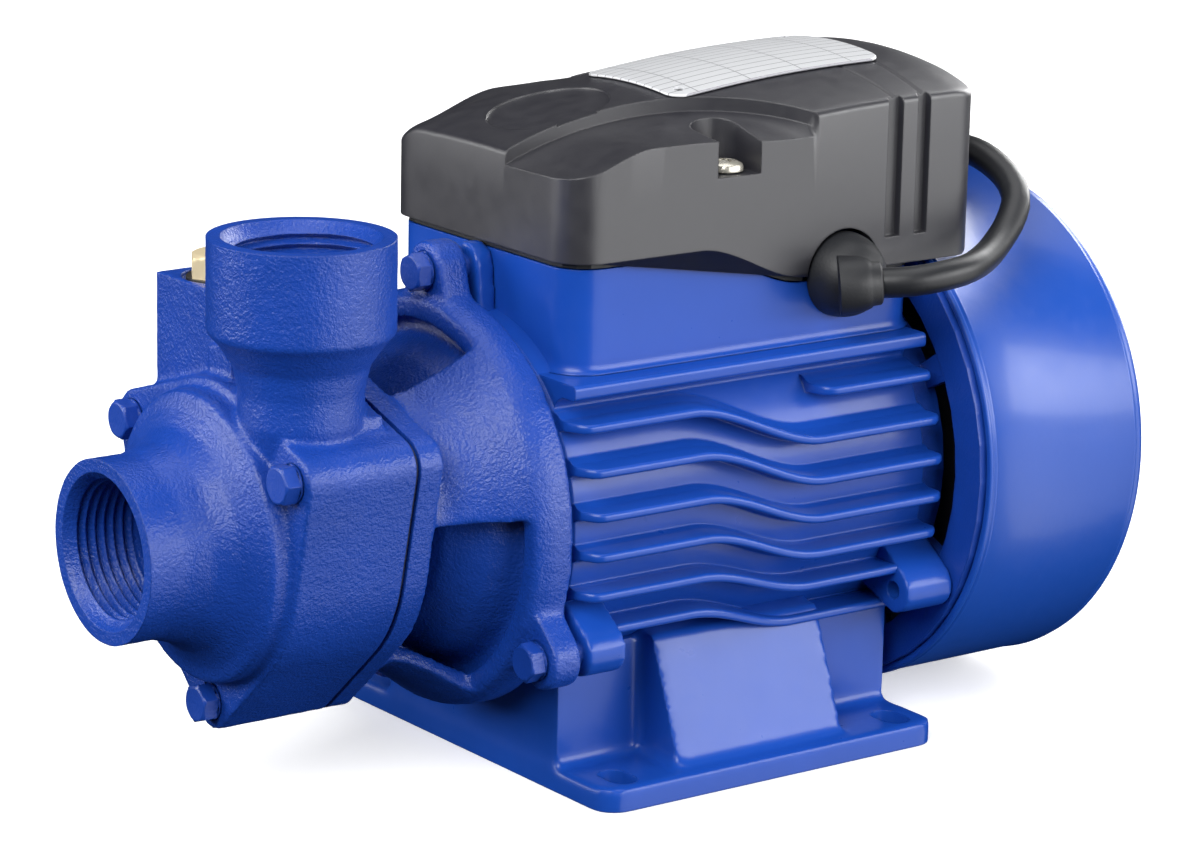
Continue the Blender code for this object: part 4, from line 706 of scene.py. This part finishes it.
def make_filler_plug():
    """Brass hex plug with a collar over the washer, and its thread below."""
    centre = (FILLER_X, FILLER_Y)
    collar_low = FILLER_HIGH.z - 0.0095
    head = hex_head("filler_head", "Z", centre, 0.0142, collar_low + 0.0012, collar_low + 0.0070)

    def thread(along, angle):
        phase = (along / FILLER_PITCH - angle / math.tau) % 1.0
        return -0.0005 * (1 - abs(2 * phase - 1)) if along < collar_low - 0.0008 else 0.0

    profile = [(0.0, collar_low + 0.0014), (0.0078, collar_low + 0.0014), (0.0078, collar_low),
               (FILLER_RADIUS, collar_low)]
    profile += [(FILLER_RADIUS, collar_low - 0.0006 - 0.0115 * step / 60) for step in range(61)]
    profile += [(0.0046, FILLER_LOW.z), (0.0, FILLER_LOW.z)]
    stem = lathe("filler_stem", "Z", centre, profile, 48, shift=thread)
    present(fuse("filler_plug_brass", [head, stem]), "brass", "brass", "priming_plug", body="filler_plug",
            angle=30)


# --- Bracket ---

def make_bracket():
    """The lantern with its windows, domed bearing housing, rim and three ears."""
    section = [(BORE_RADIUS - 0.0003, BRACKET_HIGH.x), (BORE_RADIUS - 0.0003, RIM_REAR_X),
               (RIM_RADIUS, RIM_REAR_X), (RIM_RADIUS, -0.0600), (0.0470, -0.0632), (0.0440, -0.0672),
               (0.0400, -0.0725), (0.0362, -0.0790), (BODY_RADIUS, PLATE_REAR_X),
               (BODY_RADIUS, BRACKET_FRONT_X - 0.002),
               (0.0122, BRACKET_FRONT_X - 0.002), (0.0122, -0.0853), (0.0075, -0.0853), (0.0075, -0.0838),
               (0.0310, -0.0838), (0.0335, -0.0770), (0.0385, -0.0690), (0.0425, -0.0625), (0.0425, -0.0600),
               (0.0385, -0.0600), (0.0340, -0.0680), (0.0270, -0.0750), (0.0190, -0.0785), (0.0075, -0.0790),
               (0.0075, -0.0653), (0.0163, -0.0653), (0.0163, -0.0541), (0.0365, -0.0541),
               (0.0365, BRACKET_HIGH.x)]
    jacket = [(0.0700, -0.0642), (0.0700, -0.0838), (0.0285, -0.0838), (0.0310, -0.0775), (0.0362, -0.0690),
              (0.0385, -0.0642)]
    solids = [
        lathe("lantern", "X", SHAFT, section, 120, closed=True),
        prism("flange", "X", lobed_outline(), BRACKET_FRONT_X - 0.002, PLATE_REAR_X),
    ]
    windows = []
    for angle in EAR_ANGLES:
        centre = polar(EAR_CIRCLE, angle)
        outline = arc(centre, 0.0068, angle - 90, angle + 90, 16)
        outline += [polar(0.0440, angle + 13), polar(0.0440, angle - 13)]
        solids.append(prism("ear", "X", outline, RIM_FRONT_X, RIM_REAR_X - 0.0003))
        middle = angle + WINDOW_OFFSET
        windows.append(sector("window", jacket, middle - WINDOW_HALF, middle + WINDOW_HALF))
    bore = cylinder("flange_bore", "X", SHAFT, 0.0118, BRACKET_FRONT_X - 0.004, -0.0856, 64)
    bracket = cast("bracket_casting", solids, 0.00075, 5, windows + [bore], height=0.00010, size=0.0030)
    cutters = [block("front_face", (BRACKET_FRONT_X - 0.010, -0.060, 0.0), (BRACKET_FRONT_X, 0.060, 0.130))]
    for angle in EAR_ANGLES:
        cutters += bores(EAR_CIRCLE, [angle], 0.0033, -0.070, -0.050)
        cutters += bores(EAR_CIRCLE, [angle], 0.0046, -0.070, RIM_FRONT_X + 0.0002, 48)
    machine(bracket, cutters + bores(LOBE_CIRCLE, LOBE_ANGLES, 0.0028, -0.093, -0.080))
    present(bracket, "cast", "cast_blue", "bracket")


# --- Motor frame ---

def fin_z(left, right, x):
    """Height of a fin along the motor: level, then an S-shaped drop, then level again."""
    return left + (right - left) * smoothstep((x - FIN_DROP_X[0]) / (FIN_DROP_X[1] - FIN_DROP_X[0]))


def make_fin(side, left, right, start, end):
    """A fin with a rounded tip, a flared root and rounded ends."""
    rows = []
    steps = 56
    for step in range(steps + 1):
        x = start + (end - start) * step / steps
        z = fin_z(left, right, x)
        rise = z - SHAFT_Z
        root = math.sqrt(ROOT_RADIUS ** 2 - rise ** 2) - 0.0025
        tip = math.sqrt(FIN_TIP_RADIUS ** 2 - rise ** 2)
        for corner, reach in ((0.0045, x - start), (0.0015, end - x)):
            tip -= corner * (1 - math.sqrt(1 - max(1 - reach / corner, 0.0) ** 2))
        low, high = z - FIN_HALF, z + FIN_HALF
        flare = ((0.0, 0.0016), (0.0025, 0.0009), (0.0034, 0.0003), (0.0044, 0.0))
        row = [(root + out, low - spread) for out, spread in flare]
        row += arc((tip - 0.0009, low + 0.0009), 0.0009, 270, 360, 4)
        row += arc((tip - 0.0009, high - 0.0009), 0.0009, 0, 90, 4)
        row += [(root + out, high + spread) for out, spread in reversed(flare)]
        rows.append([(x, side * y, height) for y, height in row])
    return loft("fin", rows)


def make_frame_shell():
    soft = 0.0006
    profile = [(ROOT_RADIUS - soft, FRAME_FRONT_X), (ROOT_RADIUS, FRAME_FRONT_X + soft),
               (ROOT_RADIUS, FRAME_REAR_X - soft), (ROOT_RADIUS - soft, FRAME_REAR_X),
               (BORE_RADIUS, FRAME_REAR_X), (BORE_RADIUS, FRAME_FRONT_X)]
    shell = lathe("shell", "X", SHAFT, profile, 160, closed=True)
    shelf = arc((SHELF_HALF - 0.0012, SHELF_TOP_Z - 0.0012), 0.0012, 90, 0, 5)
    shelf += arc((SHELF_HALF - 0.0010, SHELF_TOP_Z - 0.0024), 0.0010, 0, -90, 4)
    shelf += arc((0.0385, 0.0891), 0.0040, 90, 170, 8) + [(0.0330, 0.0860)]
    outline = shelf + [(-y, z) for y, z in reversed(shelf)]
    shelf = prism("shelf", "X", outline, FRAME_FRONT_X + 0.0010, FRAME_REAR_X)
    parts = [shell, shelf]
    for side in (-1, 1):
        for left, right in zip(FIN_LEFT_Z, FIN_RIGHT_Z):
            parts.append(make_fin(side, left, right, FRAME_FRONT_X + 0.0004, FRAME_REAR_X))
        parts.append(make_fin(side, 0.0868, 0.0868, 0.0180, FRAME_REAR_X))
    present(fuse("frame_shell_and_fins", parts), "gloss", "frame_blue", "motor_frame")


def make_foot():
    """The foot plate, pedestal and buttresses, cast with the frame."""
    plan = rounded_rectangle((-FOOT_HALF_X, -FOOT_HALF_Y), (FOOT_HALF_X, FOOT_HALF_Y), 0.0060)
    pedestal_half = FOOT_HALF_X - 0.0004
    solids = [prism("plate", "Z", plan, -0.0020, 0.0055),
              block("pedestal", (-pedestal_half, -0.0340, 0.0010), (pedestal_half, 0.0340, 0.0330))]
    for side in (-1, 1):
        slope = [(side * 0.0300, 0.0010), (side * 0.0500, 0.0052), (side * 0.0388, 0.0340),
                 (side * 0.0300, 0.0360)]
        solids.append(prism("buttress", "X", slope, -0.0250, 0.0230))
    foot = cast("foot_casting", solids, 0.0010, 4, height=0.00004, size=0.004)
    cutters = [block("underside", (-0.060, -0.060, -0.010), (0.060, 0.060, 0.0)),
               cylinder("frame_bore", "X", SHAFT, BORE_RADIUS, -0.060, 0.060, 96)]
    for end in (-1, 1):
        low, high = sorted((end * 0.0030, end * 0.0450))
        cutters.append(block("pocket", (low, -0.0300, -0.0020), (high, 0.0300, 0.0150)))
        for side in (-1, 1):
            x, y = end * SLOT_CENTRE[0], side * SLOT_CENTRE[1]
            slot = arc((x, y + 0.0017), SLOT_RADIUS, 0, 180, 12)
            slot += arc((x, y - 0.0017), SLOT_RADIUS, 180, 360, 12)
            cutters.append(prism("slot", "Z", slot, -0.003, 0.010))
    machine(foot, cutters)
    present(foot, "gloss", "frame_blue", "motor_frame")


def make_lugs():
    """The screw lugs at both ends of the frame."""
    solids, cutters = [], []
    for angle in EAR_ANGLES:
        top = angle == 90
        centre = polar(EAR_CIRCLE, angle)
        for low, high, radius in ((FRAME_FRONT_X, -0.0474 if top else -0.0420, 0.0055),
                                  (0.0400, 0.0539, 0.0035 if top else 0.0055)):
            outline = arc(centre, radius, angle - 90, angle + 90, 12)
            outline += [polar(0.0420, angle + radius * 1700), polar(0.0420, angle - radius * 1700)]
            solids.append(prism("lug", "X", outline, low, high))
            cutters.append(cylinder("hole", "X", (0.0, *centre), 0.0022, low - 0.002, low + 0.008, 24))
    lugs = cast("frame_lugs", solids, 0.0006, 3, height=0.00003)
    cutters.append(cylinder("bore", "X", SHAFT, BORE_RADIUS + 0.0005, -0.060, 0.060, 96))
    machine(lugs, cutters)
    present(lugs, "gloss", "frame_blue", "motor_frame")


def make_fan_cover():
    """Drawn steel cup with a rolled front rim, a bead near its rounded rear edge and air slots."""
    sheet, bend = 0.0015, 0.0026
    front, rear, radius = FAN_COVER_LOW.x, FAN_COVER_HIGH.x, FAN_COVER_HIGH.y
    body = radius - 0.0003
    outside = [(body - sheet, front + 0.0004), (body - 0.0008, front)]
    for crest in (front + 0.0007, front + 0.0021):
        outside += [(body, crest - 0.0006), (radius - 0.0001, crest - 0.0003), (radius, crest),
                    (radius - 0.0001, crest + 0.0003), (body, crest + 0.0006)]
    outside += [(body, rear - 0.0044), (radius, rear - 0.0040), (radius, rear - 0.0036),
                (body, rear - 0.0032)]
    centre = (rear - bend, body - bend)
    outside += [(u, v) for v, u in arc(centre, bend, 90, 0, 8)] + [(0.0400, rear)]
    inside = [(0.0400, rear - sheet)] + [(u, v) for v, u in arc(centre, bend - sheet, 0, 90, 8)]
    profile = [(0.0, rear), *reversed(outside), *reversed(inside), (0.0, rear - sheet)]
    cover = lathe("fan_cover_sheet", "X", SHAFT, profile, 160)
    outline = arc((0.0430, 0.0), 0.0022, -90, 90, 8) + arc((0.0180, 0.0), 0.0022, 90, 270, 8)
    slots = []
    for degrees in range(15, 360, 30):
        turned = [Matrix.Rotation(math.radians(degrees), 2) @ Vector(point) for point in outline]
        slots.append(prism("slot", "X", [(y, z + SHAFT_Z) for y, z in turned], rear - 0.006, rear + 0.004))
    machine(cover, slots)
    present(cover, "sheet", "sheet_blue", "fan_cover")


# --- Terminal box ---

def skirt_z(x):
    """Height of the cover's lower edge, which steps down towards the fan."""
    share = smoothstep((x - STEP_X[0]) / (STEP_X[1] - STEP_X[0]))
    return COVER_FRONT_Z + (COVER_REAR_Z - COVER_FRONT_Z) * share


def fine_outline(points, spacing):
    """Add points on the long sides of a closed outline."""
    fine = []
    for a, b in zip(points, points[1:] + points[:1]):
        a, b = Vector(a), Vector(b)
        count = max(int((b - a).length / spacing), 1)
        fine += [tuple(a.lerp(b, step / count)) for step in range(count)]
    return fine


def make_terminal_base():
    """Painted steel box: its foot flares into the shelf, its top follows the cover's skirt."""
    plan = fine_outline(rounded_rectangle(BASE_LOW, BASE_HIGH, 0.0085), 0.002)
    middle = Vector(((BASE_LOW.x + BASE_HIGH.x) / 2, 0.0))
    low = BASE_LOW.z - 0.0002
    corner, seam_x, seam_step = 0.009, 0.0483, 0.0003
    rows = []
    for outset, share in ((0.0012, 0.0), (0.0006, 0.10), (0.0002, 0.3), (0.0, 0.6), (0.0, 1.0)):
        row = []
        for x, y in plan:
            core = Vector((max(min(x, BASE_HIGH.x - corner), BASE_LOW.x + corner),
                           max(min(y, BASE_HIGH.y - corner), BASE_LOW.y + corner)))
            inset = seam_step if x > seam_x and abs(y) > 0.030 else 0.0
            place = Vector((x, y)) + (Vector((x, y)) - core).normalized() * (outset - inset)
            row.append((*place, low + 0.0040 * share if share < 1 else skirt_z(x) - 0.0016))
        rows.append(row)
    inside = [(x, middle + (Vector((x, y)) - middle) * 0.965) for x, y in plan]
    rows.append([(*place, skirt_z(x) - 0.0016) for x, place in inside])
    rows.append([(*place, BASE_LOW.z) for x, place in inside])
    present(loft("terminal_box_steel", rows, closed=True), "gloss", "sheet_blue", "terminal_box_base")


def cover_plan(inset):
    """The cover seen from above: flat front and sides, and a bowed rear."""
    half = COVER_HALF - inset
    front = COVER_LOW.x + inset
    corner, rear_corner = 0.0090 - inset, 0.0080 - inset
    points = arc((front + corner, half - corner), corner, 90, 180, 10)
    points += arc((front + corner, -half + corner), corner, 180, 270, 10)
    points += arc((COVER_SIDE_REAR_X, -half + rear_corner), rear_corner, 270, 345, 10)
    bow = COVER_HIGH.x - inset
    for step in range(1, 10):
        y = (-1 + step / 5) * 0.0250
        points.append((bow - 0.0030 * (y / 0.0250) ** 2, y))
    points += arc((COVER_SIDE_REAR_X, half - rear_corner), rear_corner, 15, 90, 10)
    return points


def cover_top(x, y):
    """The cover's top: it rises along the box, is crowned across it and falls at the far front corner."""
    rise = (max(COVER_PEAK_X - x, 0.0) / (COVER_PEAK_X - COVER_LOW.x)) ** 2.4
    middle = COVER_HIGH.z - 0.0140 * rise - 20.0 * max(x - COVER_PEAK_X, 0.0) ** 2
    crown = 0.0015 + 0.0050 * smoothstep((x + 0.0380) / 0.045)
    far_drop = 0.0035 * smoothstep((y - 0.0240) / 0.0110) * smoothstep((-0.0180 - x) / 0.0200)
    return middle - crown * (y / COVER_HALF) ** 2 - far_drop


def draped(outline, middle, share, lift):
    """A row over the cover's top: an outline drawn in towards its middle, lifted off the surface."""
    row = []
    for x, y in outline:
        x, y = middle[0] + (x - middle[0]) * share, middle[1] + (y - middle[1]) * share
        row.append((x, y, cover_top(x, y) + lift))
    return row


def ledge_z(x):
    """Height of the lowered ledge along the near front corner."""
    return 0.1410 + 0.0056 * smoothstep((x - COVER_LOW.x) / 0.022) - 0.0016 * smoothstep((x + 0.017) / 0.030)


def ledge_edge(x):
    """The y of the arc where the ledge meets the raised plateau."""
    return LEDGE_ARC[1] + math.sqrt(LEDGE_ARC[2] ** 2 - (x - LEDGE_ARC[0]) ** 2)


def make_cover_body():
    """Upright walls, a rounded top edge and the curved top."""
    outline = fine_outline(cover_plan(0.0), 0.0015)
    middle = Vector((0.0110, 0.0))
    rows = [[(x, y, skirt_z(x) + (cover_top(x, y) - COVER_EDGE - skirt_z(x)) * share) for x, y in outline]
            for share in (0.0, 0.03, 0.5)]
    for angle in [math.radians(degrees) for degrees in (0, 22.5, 45, 67.5, 90)]:
        inset, drop = COVER_EDGE * (1 - math.cos(angle)), COVER_EDGE * (1 - math.sin(angle))
        edge = [Vector(point) + (middle - Vector(point)).normalized() * inset for point in outline]
        rows.append(draped(edge, middle, 1.0, -drop))
    top = [(x, y) for x, y, z in rows[-1]]
    rows += [draped(top, middle, 1 - step / 30, 0.0) for step in range(1, 30)]
    rows.append(draped([middle], middle, 0.0, 0.0))
    return loft("terminal_cover_moulding", rows)


def make_ledge_cutter():
    """The space over the ledge: from the plateau's riser out past the near wall."""
    start = -0.0600
    rows = []
    for step in range(73):
        x = start + (LEDGE_END_X - start) * step / 72
        edge, low = ledge_edge(x), ledge_z(x)
        section = [(edge, CLEAR_Z), (edge, cover_top(x, edge) - RISER), (-COVER_HALF, low), (-CLEAR_Y, low),
                   (-CLEAR_Y, CLEAR_Z)]
        rows.append([(x, y, z) for y, z in section])
    return loft("ledge", rows)


def make_badge_cutter():
    """A plain round recess, its floor 0.5 mm below the curved top."""
    middle, radius, depth = BADGE[:2], BADGE[2], 0.0005
    outline = arc(middle, radius, 0, 355, 71)
    rows = [draped(outline, middle, share, -depth) for share in (1.0, 0.75, 0.5, 0.25)]
    rows.insert(0, [(x, y, 0.165) for x, y, z in rows[0]])
    rows.append(draped([middle], middle, 0.0, -depth))
    return loft("badge", rows)


def tube_solid(name, points, radii, sides=12):
    """A closed round bar along points, with its own radius at each."""
    rows = []
    for number, (point, radius) in enumerate(zip(points, radii)):
        before = Vector(points[max(number - 1, 0)])
        after = Vector(points[min(number + 1, len(points) - 1)])
        along = (after - before).normalized()
        side = along.cross(Vector((0, 0, 1)))
        if side.length < 0.1:
            side = along.cross(Vector((1, 0, 0)))
        side.normalize()
        up = side.cross(along)
        rows.append([tuple(Vector(point) + side * radius * math.cos(math.tau * k / sides)
                           + up * radius * math.sin(math.tau * k / sides)) for k in range(sides)])
    return loft(name, rows)


def make_grip_cutters():
    """Two grooves down the near wall that run on over the top in a curve and fade out."""
    outside, floor, slant = -COVER_HALF - 0.002, -COVER_HALF + 0.0017, 0.0006
    cutters = []
    for x, end_x, end_y, width in ((0.0430, 0.0390, -0.0040, 0.0050), (0.0515, 0.0540, -0.0010, 0.0044)):
        left, right = x - width / 2, x + width / 2
        plan = [(left, outside), (left + slant, floor), (right - slant, floor), (right, outside)]
        cutters.append(prism("grip_wall", "Z", plan, 0.1192, cover_top(x, -COVER_HALF) + 0.002))
        points = []
        for share in [step / 24 for step in range(25)]:
            y = outside + (end_y - outside) * share
            px = x + (end_x - x) * share ** 2
            points.append((px, y, cover_top(px, y) + 0.0008 + 0.0005 * share ** 3))
        cutters.append(tube_solid("grip_top", points, [0.0012] * len(points)))
    return cutters


def make_terminal_cover():
    """The moulding, hollowed and cut for its ledge, badge, screws, grips, gland and the fan cover."""
    cover = make_cover_body()
    pockets = []
    for side, start in ((-1, 0), (1, 180)):
        x, radius = SCREW_X - 0.0005, 0.0061
        slot = [(x + side * radius, side * CLEAR_Y), (x - side * radius, side * CLEAR_Y)]
        slot += arc((x, side * SCREW_Y), radius, start, start + 180, 20)
        pockets.append(prism("pocket", "Z", slot, 0.1380, CLEAR_Z))
    cutters = [prism("hollow", "Z", cover_plan(COVER_WALL), 0.100, 0.1330),
               make_ledge_cutter(), make_badge_cutter(),
               cylinder("gland_gap", "Y", (GLAND_X, 0.0, GLAND_Z), 0.0108, -CLEAR_Y, -0.030, 72),
               cylinder("fan_gap", "X", SHAFT, FAN_COVER_HIGH.y + 0.0008, 0.054, 0.090, 160)]
    machine(cover, cutters + pockets + make_grip_cutters())
    present(cover, "plastic", "black_plastic", "terminal_box_cover", angle=35)


def make_cover_screws():
    """Pan-head screws with a cross recess."""
    for number, side in enumerate((-1, 1), 1):
        x, y, top = SCREW_X, side * (SCREW_Y + 0.0025), SCREW_HIGH.z
        profile = [(0.0, top), (0.0014, top - 0.00005), (0.0028, top - 0.0003), (0.0039, top - 0.0009),
                   (0.0042, top - 0.0015), (0.0042, top - 0.0024), (0.0018, top - 0.0024),
                   (0.0018, SCREW_LOW.z + 0.001), (0.0, SCREW_LOW.z)]
        screw = lathe(f"cover_screw_{number}_head", "Z", (x, y), profile, 64)
        machine(screw, [block("recess", (x - u, y - v, top - 0.0014), (x + u, y + v, top + 0.001))
                        for u, v in ((0.0022, 0.0004), (0.0004, 0.0022))])
        present(screw, "nickel", "plated_screw", f"cover_screw_{number}", angle=30)


def make_nameplate():
    """A thin plate with rounded corners and two rivet holes, bent to the cover's top."""
    plan = fine_outline(rounded_rectangle(PLATE_LOW, PLATE_HIGH, 0.0040), 0.0020)
    middle = ((PLATE_LOW.x + PLATE_HIGH.x) / 2, 0.0)
    under = PLATE_LIFT - 0.0006
    rows = [draped([middle], middle, 0.0, under)]
    for share, lift in ((0.5, under), (0.995, under), (1.0, 0.0004), (1.0, 0.0007)):
        rows.append(draped(plan, middle, share, lift))
    for share in (0.995, 0.9, 0.75, 0.6, 0.45, 0.3, 0.15):
        rows.append(draped(plan, middle, share, PLATE_LIFT))
    rows.append(draped([middle], middle, 0.0, PLATE_LIFT))
    plate = loft("nameplate_metal", rows)
    machine(plate, [cylinder("rivet", "Z", (corner.x + inset, corner.y + inset), 0.0013, 0.130, CLEAR_Z, 24)
                    for corner, inset in ((PLATE_HIGH, -0.0040), (PLATE_LOW, 0.0040))])
    present(plate, "plate", "plate_metal", "nameplate", angle=30)


def make_gland():
    """Domed rubber gland, with a tapered sleeve and a collar where the cord leaves it."""
    wall, radius, depth = GLAND_WALL_Y, 0.0100, 0.0105
    dome = [(0.0, wall - depth)]
    for angle in [math.radians(degrees) for degrees in range(80, -1, -8)]:
        dome.append((radius * math.cos(angle) ** 0.75, wall - depth * math.sin(angle)))
    dome += [(0.0058, wall), (0.0058, wall + 0.0060), (0.0, wall + 0.0060)]
    gland = lathe("dome", "Y", (GLAND_X, 0.0, GLAND_Z), dome, 64)
    start, second = smooth_route(CORD_POINTS, 0.0085)[:2]
    along = (second - start).normalized()
    stations = ((-0.0100, 0.0068), (-0.0062, 0.0066), (-0.0040, 0.0061), (-0.0028, 0.0056),
                (-0.0024, 0.0052), (-0.0006, 0.0050), (-0.0002, 0.0046), (0.0, 0.0040))
    sleeve = tube_solid("sleeve", [tuple(start + along * s) for s, r in stations],
                        [r for s, r in stations], 40)
    present(fuse("gland_rubber", [gland, sleeve]), "rubber", "black_rubber", "cable_gland", angle=50)


# --- Carried-over nodes ---

CARRIED = {
    "fibre": ("casing_gasket",),
    "rubber": ("plug_washer", "slinger", "seal_seat_cup", "terminal_box_gasket"),
    "cast_fine": ("rear_end_shield",),
    "brass": ("impeller", "impeller_nut"),
    "steel": ("shaft", "impeller_key", "bearing_spring", "fan_clip",
              *(f"end_shield_bolt_{number}" for number in (1, 2, 3)),
              *(f"{end}_bearing_{part}" for end in ("front", "rear")
                for part in ("outer", "inner", "balls"))),
    "copper": ("winding_front", "winding_rear"),
    "laminations": ("stator_core",),
    "aluminium": ("rotor_core",),
    # The fan's black is painted shade: it darkens the inside of the fan cover, seen through the rear end shield's
    # ring.
    "plastic": ("fan",),
    "cream": ("capacitor", "terminal_block", "seal_seat"),
    "carbon": ("seal_ring",),
}

for finish, names in CARRIED.items():
    for name in names:
        for slot in frame["nodes"][name].material_slots:
            slot.material = FINISHES[finish]


# --- The pump and its studio ---

make_camera()
make_studio()
make_cord(make_mains_plug())
make_casing()
make_bolts("casing_bolt", FLANGE_FRONT_X - 0.0002, LOBE_CIRCLE, LOBE_ANGLES,
           across_flats=0.0080, thickness=0.0042, shank=0.0024, length=0.0320)
make_filler_plug()
make_bracket()
make_bolts("bracket_bolt", RIM_FRONT_X - 0.0002, EAR_CIRCLE, EAR_ANGLES,
           across_flats=0.0078, thickness=0.0040, shank=0.0029, length=0.0135)
make_frame_shell()
make_foot()
make_lugs()
make_fan_cover()
make_terminal_base()
make_terminal_cover()
make_cover_screws()
make_nameplate()
make_gland()
